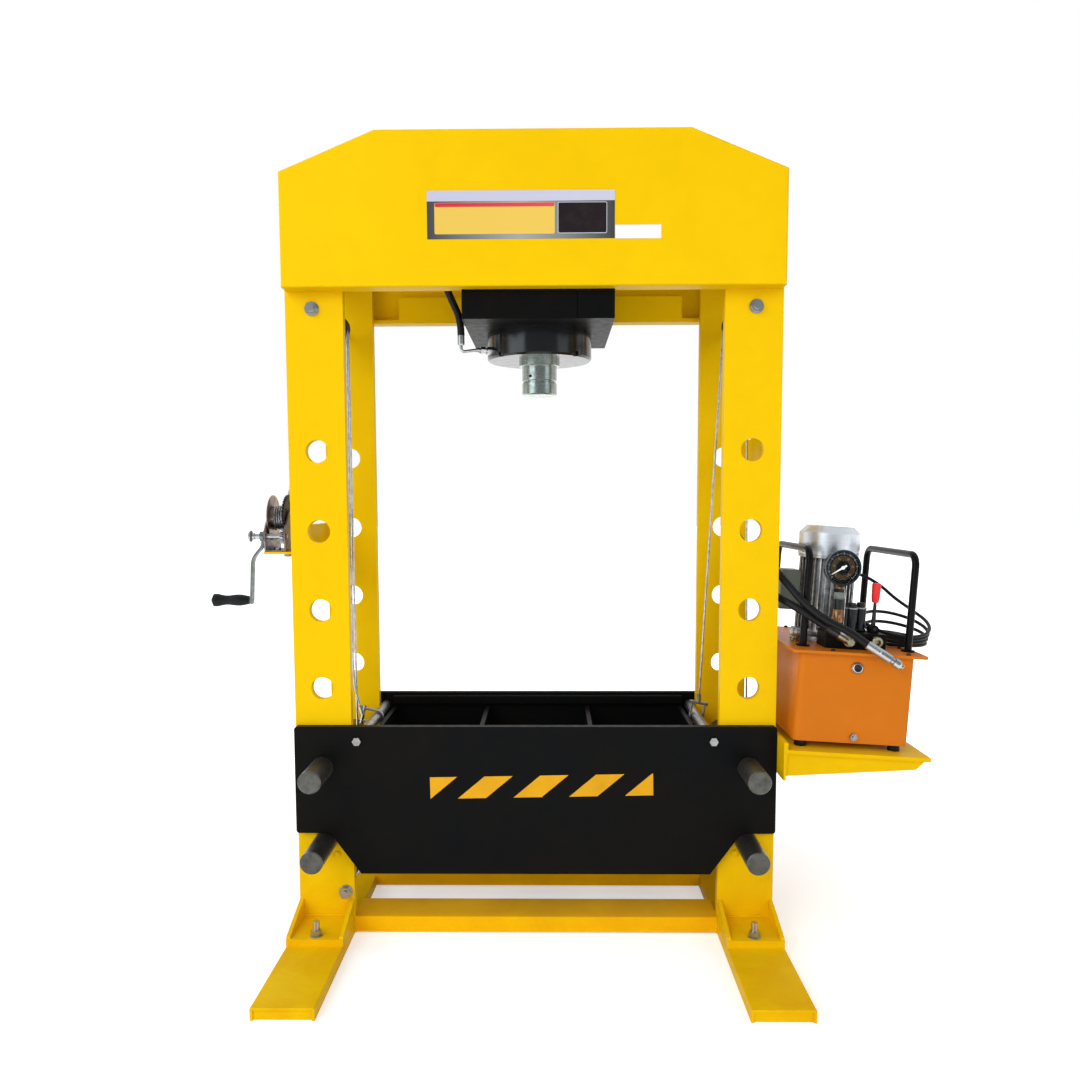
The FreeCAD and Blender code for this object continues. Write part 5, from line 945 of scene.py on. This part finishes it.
bars_mesh = grow("hazard_bars", bars_tree, {"Finish": amber})
bed_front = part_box("bed_plate_front")[0][1]
bars_mesh.transform(Matrix.Translation((0, bed_front - 0.00003, BARS_HEIGHT))
                    @ Matrix.Rotation(BARS_LEAN, 4, "Y") @ Matrix.Rotation(math.pi / 2, 4, "X"))
merge = bmesh.new()
merge.from_mesh(bars_mesh)
bmesh.ops.remove_doubles(merge, verts=merge.verts, dist=0.00001)
merge.to_mesh(bars_mesh)
merge.free()
finish_piece("hazard_bars", bars_mesh, None, "press", smooth=False)
print("bars reach from", tuple(round(c, 4) for c in bars_mesh.vertices[0].co))

# %% [markdown]
# ## Printed plates
# A printed plate and a white sticker are stuck on the front beam. The plate is built up from plain bands and
# panels, each a thin card with round corners, and one kind of material gives them all the same printed film: a
# colour that runs across, fine screen dots and faint scuffs.

# %% Cards and printed film
BEAM_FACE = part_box("beam_front")[0][1]


def printed(title, colour, other, low=-0.3, high=0.3):
    """Printed film whose colour runs from one to another across the plate, with screen dots."""
    material, tree, shader = new_material(title)
    place = own_place(tree)
    across = add_node(tree, "ShaderNodeSeparateXYZ", {0: place}).outputs["X"]
    wave = maths(tree, "PINGPONG", maths(tree, "SUBTRACT", across, low), high - low)
    shown = mix_colour(tree, maths(tree, "DIVIDE", wave, high - low), colour, other)
    dots = add_node(tree, "ShaderNodeTexVoronoi", {"Vector": place, "Scale": 1400.0})
    shown = mix_colour(tree, spread(tree, dots.outputs["Distance"], 0.2, 0.6, 0.0, 0.05), shown, other)
    scuffs = spread(tree, noise(tree, place, 35.0, 6.0, 0.7), 0.45, 0.75, 0.0, 0.10)
    scuffed = mix_colour(tree, 0.25, shown, (0.35, 0.32, 0.28))
    tree.links.new(mix_colour(tree, scuffs, shown, scuffed), shader.inputs["Base Color"])
    tree.links.new(maths(tree, "MULTIPLY_ADD", scuffs, 1.5, 0.3), shader.inputs["Roughness"])
    roughen(tree, shader, 0.15, 0.0002, noise(tree, place, 90.0, 2.0))
    shader.inputs["Specular IOR Level"].default_value = 0.1
    return material


def card(title, left, right, low, high, corner, thickness, material):
    """A thin upright card with round corners on the face of the beam."""
    outline = []
    front = BEAM_FACE - thickness
    for cx, cz, start in ((right - corner, high - corner, 0), (left + corner, high - corner, 90),
                          (left + corner, low + corner, 180), (right - corner, low + corner, 270)):
        for k in range(7):
            angle = math.radians(start + 15 * k)
            outline.append((cx + corner * math.cos(angle), cz + corner * math.sin(angle)))
    lip = min(0.0004, corner / 3)
    middle = ((left + right) / 2, (low + high) / 2)
    rings = []
    for y, inset in ((BEAM_FACE, 0.0), (front + lip, 0.0), (front, lip)):
        rings.append([(x - math.copysign(inset, x - middle[0]), y, z - math.copysign(inset, z - middle[1]))
                      for x, z in outline])
    mesh = skin(title, rings)
    turned = bmesh.new()
    turned.from_mesh(mesh)
    bmesh.ops.recalc_face_normals(turned, faces=turned.faces)
    turned.to_mesh(mesh)
    turned.free()
    return finish_piece(title, mesh, material, "press", smooth=False)


# %% Stick the plates on the beam
band_print = printed("plate_band_print", (0.50, 0.50, 0.66), (0.56, 0.56, 0.68))
frame_print = printed("plate_frame_print", (0.040, 0.045, 0.050), (0.34, 0.35, 0.36), -0.256, -0.03)
border_print = printed("plate_border_print", (0.42, 0.45, 0.50), (0.60, 0.62, 0.66))
amber_print = printed("plate_amber_print", (0.74, 0.50, 0.085), (0.80, 0.55, 0.10))
red_print = printed("plate_red_print", (0.60, 0.025, 0.045), (0.66, 0.08, 0.10), -0.24, 0.04)
dark_print = printed("plate_dark_print", (0.012, 0.010, 0.012), (0.02, 0.014, 0.016))
white_print = printed("sticker_print", (0.88, 0.88, 0.86), (0.90, 0.89, 0.84))
plates = (
    ("plate_frame", -0.256, 0.1985, 1.771, 1.885, 0.001, 0.0008, frame_print),
    ("plate_band", -0.256, 0.1985, 1.860, 1.885, 0.001, 0.0012, band_print),
    ("plate_amber", -0.238, 0.0535, 1.7825, 1.8565, 0.004, 0.0012, amber_print),
    ("plate_red", -0.237, 0.0525, 1.8465, 1.8560, 0.003, 0.0015, red_print),
    ("plate_border", 0.0605, 0.1800, 1.7830, 1.8570, 0.004, 0.0012, border_print),
    ("plate_dark", 0.0620, 0.1785, 1.7845, 1.8555, 0.003, 0.0015, dark_print),
    ("beam_sticker", 0.1990, 0.3110, 1.7700, 1.8030, 0.001, 0.0006, border_print),
    ("beam_label", 0.2000, 0.3100, 1.7710, 1.8020, 0.001, 0.0009, white_print),
)
for plate in plates:
    card(*plate)
print("stuck", len(plates), "cards on the beam at y", round(BEAM_FACE, 4))

# %% [markdown]
# ## The gauge's dial
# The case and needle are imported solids. The dial behind the needle has a warm printed ring and pale marks. The
# marks stand at equal angles, so Geometry Nodes puts a thin bar on each point of an arc, longer at every fifth.
# Plain numbers, made from text, stand on the ring. A bezel and a thin glass close the case.

# %% Place things on the dial
DIAL_U, DIAL_W, DIAL_FRONT = 124, 457, -208


def dial_piece(title, mesh, material, ahead=0.0, smooth=False):
    """Put a mesh drawn flat on XY on the dial, facing front, this many metres towards the glass."""
    corner = pack_point(DIAL_U, DIAL_FRONT, DIAL_W) + Vector((0, -ahead, 0))
    upright = Matrix.Rotation(SAG, 4, "Y") @ Matrix.Rotation(math.pi / 2, 4, "X")
    mesh.transform(Matrix.Translation(corner) @ upright)
    return finish_piece(title, mesh, material, "press", smooth)


def ring_solid(title, profile, sides=72):
    """A solid of revolution about Z from a closed profile of radius and height."""
    mesh = bpy.data.meshes.new(title)
    spun = bmesh.new()
    loops = [[spun.verts.new((r * math.cos(2 * math.pi * n / sides), r * math.sin(2 * math.pi * n / sides), h))
              for r, h in profile] for n in range(sides)]
    for n in range(sides):
        first, second = loops[n], loops[(n + 1) % sides]
        for k in range(len(profile)):
            j = (k + 1) % len(profile)
            spun.faces.new((first[k], second[k], second[j], first[j]))
    bmesh.ops.recalc_face_normals(spun, faces=spun.faces)
    spun.to_mesh(mesh)
    spun.free()
    return mesh


ticks_tree, ticks_in, ticks_out = geometry_tree("dial_marks", [
    ("Radius", "NodeSocketFloat", 0.0362), ("Marks", "NodeSocketInt", 51), ("Length", "NodeSocketFloat", 0.0030),
    ("Width", "NodeSocketFloat", 0.0010), ("Every", "NodeSocketInt", 5), ("Finish", "NodeSocketMaterial", None),
])
arc = add_node(ticks_tree, "GeometryNodeCurveArc", {
    "Resolution": ticks_in.outputs["Marks"], "Radius": ticks_in.outputs["Radius"],
    "Start Angle": math.radians(-45), "Sweep Angle": math.radians(270)})
dots = add_node(ticks_tree, "GeometryNodeCurveToPoints", {"Curve": arc.outputs["Curve"]}, mode="EVALUATED")
mark = add_node(ticks_tree, "GeometryNodeMeshCube", {"Size": (1, 1, PAINT_FILM)})
index = add_node(ticks_tree, "GeometryNodeInputIndex").outputs[0]
whole = maths(ticks_tree, "MODULO", index, ticks_in.outputs["Every"])
long_mark = maths(ticks_tree, "LESS_THAN", whole, 0.5)
stretch = maths(ticks_tree, "MULTIPLY", ticks_in.outputs["Length"],
                maths(ticks_tree, "MULTIPLY_ADD", long_mark, 0.9, 1.0))
wide = maths(ticks_tree, "MULTIPLY", ticks_in.outputs["Width"],
             maths(ticks_tree, "MULTIPLY_ADD", long_mark, 0.8, 1.0))
at = add_node(ticks_tree, "GeometryNodeInputPosition").outputs[0]
split = add_node(ticks_tree, "ShaderNodeSeparateXYZ", {0: at})
bearing = maths(ticks_tree, "ARCTAN2", split.outputs["Y"], split.outputs["X"])
angles = add_node(ticks_tree, "ShaderNodeCombineXYZ", {"Z": bearing})
turn_by = add_node(ticks_tree, "FunctionNodeEulerToRotation", {"Euler": angles.outputs[0]})
size = add_node(ticks_tree, "ShaderNodeCombineXYZ", {"X": stretch, "Y": wide, "Z": 1.0})
turned = add_node(ticks_tree, "GeometryNodeInstanceOnPoints", {
    "Points": dots.outputs["Points"], "Instance": mark.outputs["Mesh"], "Rotation": turn_by.outputs[0],
    "Scale": size.outputs[0]})
real = add_node(ticks_tree, "GeometryNodeRealizeInstances", {"Geometry": turned.outputs[0]})
inked = add_node(ticks_tree, "GeometryNodeSetMaterial", {
    "Geometry": real.outputs[0], "Material": ticks_in.outputs["Finish"]})
ticks_tree.links.new(inked.outputs[0], ticks_out.inputs[0])

# %% Print the dial
PRINT_FILM = 0.0002
FACE_RADIUS = 0.0405
RING_INSIDE, RING_OUTSIDE = 0.0180, 0.0310
NUMBER_RADIUS, NUMBER_SIZE = 0.0245, 0.0062


def flat_ring(title, inside, outside):
    """A film between two radii."""
    return ring_solid(title, [(inside, 0.0), (outside, 0.0), (outside, PRINT_FILM), (inside, PRINT_FILM)])


def dial_print(title, colour):
    """A matt print on the dial."""
    return moulded(title, colour, 0.40, 900.0, 0.00002, 0.0, 0.05)


face_print = dial_print("dial_face", (0.0030, 0.0042, 0.0055))
ring_print = dial_print("dial_ring_print", (0.045, 0.028, 0.014))
tick_print = dial_print("dial_tick_print", (0.20, 0.23, 0.25))
number_print = dial_print("dial_mark_print", (0.26, 0.17, 0.065))
bezel_metal = machined("gauge_bezel", (0.16, 0.19, 0.23), (0.05, 0.05, 0.05), 0.3, 0.12, EVENLY, 260.0)
dial_piece("dial_face", flat_ring("dial_face", 0.0001, FACE_RADIUS), face_print, 0.0001)
dial_piece("dial_ring", flat_ring("dial_ring", RING_INSIDE, RING_OUTSIDE), ring_print, 0.0002)
marks_mesh = grow("dial_marks", ticks_tree, {"Finish": tick_print})
dial_piece("dial_marks", marks_mesh, None, 0.0004)
print("the dial has", len(marks_mesh.polygons) // 6, "marks")

# %% Set the numbers, the bezel and the glass
number_meshes = bmesh.new()
for k in range(6):
    bearing = math.radians(225 - 54 * k)
    font = bpy.data.curves.new("number", "FONT")
    font.body = str(k * 10)
    font.size = NUMBER_SIZE
    font.align_x = "CENTER"
    font.align_y = "CENTER"
    font.extrude = 0.0001
    drawn = plain_mesh(link_object("number", font))
    drawn.transform(Matrix.Translation((NUMBER_RADIUS * math.cos(bearing), NUMBER_RADIUS * math.sin(bearing), 0)))
    number_meshes.from_mesh(drawn)
numbers = bpy.data.meshes.new("dial_numbers")
number_meshes.to_mesh(numbers)
number_meshes.free()
dial_piece("dial_numbers", numbers, number_print, 0.0005)
dial_piece("gauge_bezel", ring_solid("gauge_bezel", [
    (0.0412, 0.0052), (0.0440, 0.0058), (0.0458, 0.0046), (0.0462, 0.0020), (0.0462, -0.0020), (0.0452, -0.0022),
    (0.0452, 0.0015), (0.0412, 0.0040)]), bezel_metal, smooth=True)
glass, glass_tree, clear = new_material("gauge_glass")
clear.inputs["Transmission Weight"].default_value = 1.0
clear.inputs["IOR"].default_value = 1.10
clear.inputs["Base Color"].default_value = (0.97, 0.98, 0.98, 1)
smudge = noise(glass_tree, own_place(glass_tree), 60.0, 4.0)
glass_tree.links.new(spread(glass_tree, smudge, 0.4, 0.8, 0.02, 0.12), clear.inputs["Roughness"])
dial_piece("gauge_glass", loft("gauge_glass", [(0.0038, 0.0411), (0.0050, 0.0411)], 72), glass)
print("the dial is closed")

# %% [markdown]
# ## Hose ends and the lead's gland
# Each hose is crimped into a steel ferrule, and the lead leaves the terminal box through a tapered rubber
# sleeve that keeps it from kinking. All are turned shapes, so each is lofted from rings along its own line.

# %% Turn a shape along a direction
ZINC = (zinc, "zinc_steel")
DARK = (dark_metal, "dark_steel")
COPPER = (copper, "brass")


def turned_piece(title, start, direction, rings, finish, sides=32):
    """Loft rings along a direction from a start; finish is a material and a slot name, and the slot name is not
    used.
    """
    mesh = loft(title, rings, sides)
    mesh.transform(Matrix.Translation(start) @ Vector(direction).to_track_quat("Z", "Y").to_matrix().to_4x4())
    return finish_piece(title, mesh, finish[0], "press")


def last_way(route):
    """The end of a route and the direction from it back along the cord."""
    return route[-1], (route[-2] - route[-1]).normalized()


ferrule = [(-0.001, 0.0104), (0.0005, 0.0112)]
for k in range(5):
    ferrule += [(0.003 + 0.006 * k, 0.0114), (0.0045 + 0.006 * k, 0.0109), (0.006 + 0.006 * k, 0.0109),
                (0.0075 + 0.006 * k, 0.0114)]
ferrule += [(0.034, 0.0113), (0.035, 0.0099), (0.0351, 0.0090)]
turned_piece("ferrule_front", *last_way(hose_front_route), ferrule, ZINC)
turned_piece("ferrule_rear", *last_way(hose_rear_route), ferrule, DARK)
turned_piece("ferrule_top", hose_rear_route[0], (1, 0, 0), ferrule, ZINC)
sleeve = [(0.0, 0.0079), (0.002, 0.0079)]
for k in range(5):
    sleeve += [(0.004 + 0.005 * k, 0.0078 - 0.0005 * k), (0.0055 + 0.005 * k, 0.0069 - 0.0004 * k),
               (0.0075 + 0.005 * k, 0.0069 - 0.0004 * k), (0.009 + 0.005 * k, 0.0077 - 0.0005 * k)]
sleeve += [(0.030, 0.0050), (0.0301, 0.0046)]
turned_piece("lead_sleeve", pack_point(43, 26, 352), (0, 1, 0), sleeve, (rubber, "black_rubber"))
print("hose ends and sleeve are turned")

# %% [markdown]
# ## The valve's coils and the pack's small parts
# The two cartridges carry wound coils under black caps, each with a bright clamp ring and a nut. The breather
# wears a knurled band, the sight plug has a bright rim, and the gauge stands on a union, a tube, a block and a
# cap. All are turned or cut from hexagon bar, so they are lofted from rings as well.

# %% Dress the valve and the tank
for k, (u, y) in enumerate(((164, -182), (194, -160))):
    foot = pack_point(u, y, 292)
    turned_piece(f"coil_ring_{k}", foot + pack_up * 0.0592, pack_up, [
        (0.0, 0.0152), (0.0010, 0.0157), (0.0022, 0.0157), (0.0032, 0.0150), (0.0033, 0.0100)], ZINC)
    turned_piece(f"coil_nut_{k}", foot + pack_up * 0.0675, pack_up, [
        (0.0, hexagonal(0.019)), (0.006, hexagonal(0.019)), (0.0075, 0.0085), (0.0076, 0.002)], DARK)
    turned_piece(f"coil_foot_{k}", foot, pack_up, [
        (-0.0005, hexagonal(0.031)), (0.006, hexagonal(0.031)), (0.007, 0.0150), (0.0071, 0.0147)], DARK)


def knurled(angle):
    """Radius of the breather's band, with 24 ridges."""
    return 0.0184 + 0.0004 * math.cos(angle * 24)


turned_piece("breather_band", pack_point(47, -112, 267), pack_up, [
    (0.0002, 0.0178), (0.001, knurled), (0.016, knurled), (0.0175, 0.0176), (0.0215, 0.0148), (0.0216, 0.003)],
    ZINC, 96)
sight = pack_point(165, -255, 211)
turned_piece("sight_ring", sight, to_front, [
    (0.0, 0.0150), (0.003, 0.0152), (0.0052, 0.0146), (0.0066, 0.0122), (0.0085, 0.0122), (0.0086, 0.0095)], ZINC)
turned_piece("sight_plug", sight, to_front, [
    (0.002, 0.0098), (0.0090, 0.0098), (0.0096, 0.0088), (0.0096, hexagonal(0.008)), (0.0088, hexagonal(0.008)),
    (0.0087, 0.001)], (gauge_plastic, "gauge_black"), 48)
stem = pack_point(124, -199, 357)
turned_piece("stem_cap", stem + pack_up * 0.0385, pack_up, [
    (0.0, hexagonal(0.0200)), (0.0125, hexagonal(0.0200)), (0.0135, 0.0092)], COPPER, 24)
turned_piece("stem_block", stem + pack_up * 0.0185, pack_up, [
    (0.0, 0.0095), (0.0010, hexagonal(0.0252)), (0.0185, hexagonal(0.0252)), (0.0195, 0.0098)],
    (box_grey, "zinc_steel"), 24)
turned_piece("stem_tube", stem - pack_up * 0.0060, pack_up, [(0.0, 0.0084), (0.0242, 0.0084)], ZINC)
turned_piece("stem_union", pack_point(124, -199, 316), pack_up, [
    (0.0, 0.0140), (0.0010, hexagonal(0.0272)), (0.0155, hexagonal(0.0272)), (0.0165, 0.0141), (0.0340, 0.0141),
    (0.0350, 0.0088)], COPPER, 24)
print("valve and tank are dressed")

# %% [markdown]
# ## Weld beads
# The press is welded from plate, and its beads show where the front bars meet their shoes. A bead is a row of
# overlapping scales. Geometry Nodes resamples each seam, puts a ball at every step and jitters its size with a
# fixed seed, and the painted result is one mesh.

# %% Grow the beads
SMALLEST, LARGEST = 0.8, 1.15
bead_tree, bead_in, bead_out = geometry_tree("weld_beads", [
    ("Step", "NodeSocketFloat", 0.0028), ("Size", "NodeSocketFloat", 0.0036), ("Seed", "NodeSocketInt", 5),
    ("Finish", "NodeSocketMaterial", None),
])
seams = add_node(bead_tree, "GeometryNodeMeshToCurve", {"Mesh": bead_in.outputs["Geometry"]})
steps = add_node(bead_tree, "GeometryNodeCurveToPoints", {
    "Curve": seams.outputs[0], "Length": bead_in.outputs["Step"]}, mode="LENGTH")
scale_ball = add_node(bead_tree, "GeometryNodeMeshIcoSphere", {"Radius": 1.0, "Subdivisions": 2})
jitter = add_node(bead_tree, "FunctionNodeRandomValue", {"Seed": bead_in.outputs["Seed"]}, data_type="FLOAT")
jitter.inputs[2].default_value = SMALLEST
jitter.inputs[3].default_value = LARGEST
size = maths(bead_tree, "MULTIPLY", jitter.outputs[1], bead_in.outputs["Size"])
balls = add_node(bead_tree, "GeometryNodeInstanceOnPoints", {
    "Points": steps.outputs["Points"], "Instance": scale_ball.outputs["Mesh"], "Scale": size})
real = add_node(bead_tree, "GeometryNodeRealizeInstances", {"Geometry": balls.outputs[0]})
coated = add_node(bead_tree, "GeometryNodeSetMaterial", {
    "Geometry": real.outputs[0], "Material": bead_in.outputs["Finish"]})
bead_tree.links.new(coated.outputs[0], bead_out.inputs[0])


def weld(title, seams, material, size, seed):
    """Beads along straight seams, each a pair of places."""
    lines = bpy.data.meshes.new(title + "_seams")
    ends = [tuple(p) for pair in seams for p in pair]
    lines.from_pydata(ends, [(2 * k, 2 * k + 1) for k in range(len(seams))], [])
    made = grow(title, bead_tree, {"Finish": material, "Size": size, "Seed": seed}, lines)
    print(title, "has", len(made.polygons), "faces")
    return finish_piece(title, made, None, "press")


SEAM_IN, SEAM_OUT = 0.002, 0.0005
shoe_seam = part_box("foot_shoes")[0][2] + 0.018
seams = []
for sign, name in ((-1, "bar_front_left"), (1, "bar_front_right")):
    low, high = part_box(name)
    before, beside = low[1] - SEAM_OUT, (high[0] if sign < 0 else low[0]) - sign * SEAM_OUT
    seams.append(((low[0] + SEAM_IN, before, shoe_seam), (high[0] - SEAM_IN, before, shoe_seam)))
    seams.append(((beside, low[1] + 0.001, 0.004), (beside, low[1] + 0.001, 0.043)))
weld("foot_beads", seams, yellow, 0.0034, 5)

# %% [markdown]
# ## Floor and light
# The object stands on a plain white floor before a white background. Both look white because the camera and
# mirror rays are told so by Light Path, while the lamps and the sky stay at a plain level, so that the
# enamel renders about as its colour is written. The floor still receives the press's shadow. Bare metal would
# look flat in an even white sky, so mirror rays towards the camera's side see a dim room with two tall panes
# and a pale ceiling instead.

# %% Make the floor
FLOOR_Z = -0.0005
floor_mesh = bpy.data.meshes.new("floor")
floor_mesh.from_pydata([(x, y, FLOOR_Z) for x, y in ((-30, -12), (30, -12), (30, 40), (-30, 40))], [],
                       [(0, 1, 2, 3)])
floor = link_object("floor", floor_mesh)
pale, pale_tree, plain = new_material("pale_floor")
plain.inputs["Base Color"].default_value = (0.86, 0.86, 0.86, 1)
plain.inputs["Roughness"].default_value = 0.9
plain.inputs["Specular IOR Level"].default_value = 0.1
plain.inputs["Emission Strength"].default_value = 1.0


def seen_directly(tree):
    """One for rays from the camera, from a mirror and through glass; nothing for those that light things."""
    path = add_node(tree, "ShaderNodeLightPath")
    mirrored = maths(tree, "MAXIMUM", path.outputs["Is Glossy Ray"], path.outputs["Is Transmission Ray"])
    return maths(tree, "MAXIMUM", path.outputs["Is Camera Ray"], mirrored)


away = add_node(pale_tree, "ShaderNodeVectorMath", {0: own_place(pale_tree)}, operation="LENGTH")
veil = maths(pale_tree, "MULTIPLY", spread(pale_tree, away.outputs["Value"], 0.9, 2.6, 0.42, 1.0),
             seen_directly(pale_tree))
pale_tree.links.new(join_colour(pale_tree, veil, veil, veil), plain.inputs["Emission Color"])
floor_mesh.materials.append(pale)
print("the floor lies at", FLOOR_Z)

# %% Light the press
world = bpy.data.worlds.new("studio")
bpy.context.scene.world = world
world.use_nodes = True
sky = world.node_tree
background = sky.nodes["Background"]
looking = add_node(sky, "ShaderNodeSeparateXYZ", {0: add_node(sky, "ShaderNodeTexCoord").outputs["Generated"]})


def window_pane(near, near_full, far, far_full, power):
    """A bright upright pane of the room between two places on X, with soft edges."""
    near_edge = spread(sky, looking.outputs["X"], near, near_full)
    far_edge = spread(sky, looking.outputs["X"], far, far_full)
    return maths(sky, "MULTIPLY", maths(sky, "MULTIPLY", near_edge, far_edge), power)


ROOM_LEVEL = 0.28
WORLD_STRENGTH = 0.58
overhead = spread(sky, looking.outputs["Z"], 0.55, 0.85, 0.0, 0.75)
room = maths(sky, "MAXIMUM", window_pane(-0.48, -0.56, -0.96, -0.90, 2.2),
             window_pane(0.60, 0.68, 0.93, 0.88, 1.1))
room = maths(sky, "MAXIMUM", maths(sky, "MAXIMUM", room, overhead), ROOM_LEVEL)
towards_camera = spread(sky, looking.outputs["Y"], 0.12, -0.12)
cool_room = join_colour(sky, maths(sky, "MULTIPLY", room, 0.93), room, maths(sky, "MULTIPLY", room, 1.06))
mirrored = mix_colour(sky, towards_camera, (1, 1, 1), cool_room)
path = add_node(sky, "ShaderNodeLightPath")
sky.links.new(mix_colour(sky, path.outputs["Is Glossy Ray"], (1, 1, 1), mirrored), background.inputs["Color"])
sky.links.new(spread(sky, seen_directly(sky), 0.0, 1.0, WORLD_STRENGTH, 1.0), background.inputs["Strength"])


def lamp(title, place, aim, size, power, colour=(1, 1, 1)):
    """A soft square lamp that points at a place; mirrors see the room instead of it."""
    light = bpy.data.lights.new(title, "AREA")
    light.shape = "SQUARE"
    light.size = size
    light.energy = power
    light.color = colour
    holder = link_object(title, light)
    holder.visible_glossy = False
    holder.location = place
    holder.rotation_euler = (Vector(aim) - Vector(place)).to_track_quat("-Z", "Y").to_euler()


lamp("key", (-2.6, -4.6, 3.4), (0, 0, 1.0), 3.0, 116)
lamp("fill", (3.4, -4.0, 2.2), (0.2, 0, 0.9), 2.4, 36)
lamp("window", (-4.2, -1.0, 2.2), (0, 0, 1.2), 1.6, 45, (0.80, 0.92, 1.0))
lamp("back", (1.0, 4.0, 3.4), (0, 0, 1.0), 2.5, 40)
lamp("low", (0.1, -2.3, 0.8), (0.0, 0.0, 0.05), 1.4, 7)
bpy.context.scene.view_settings.view_transform = "Standard"
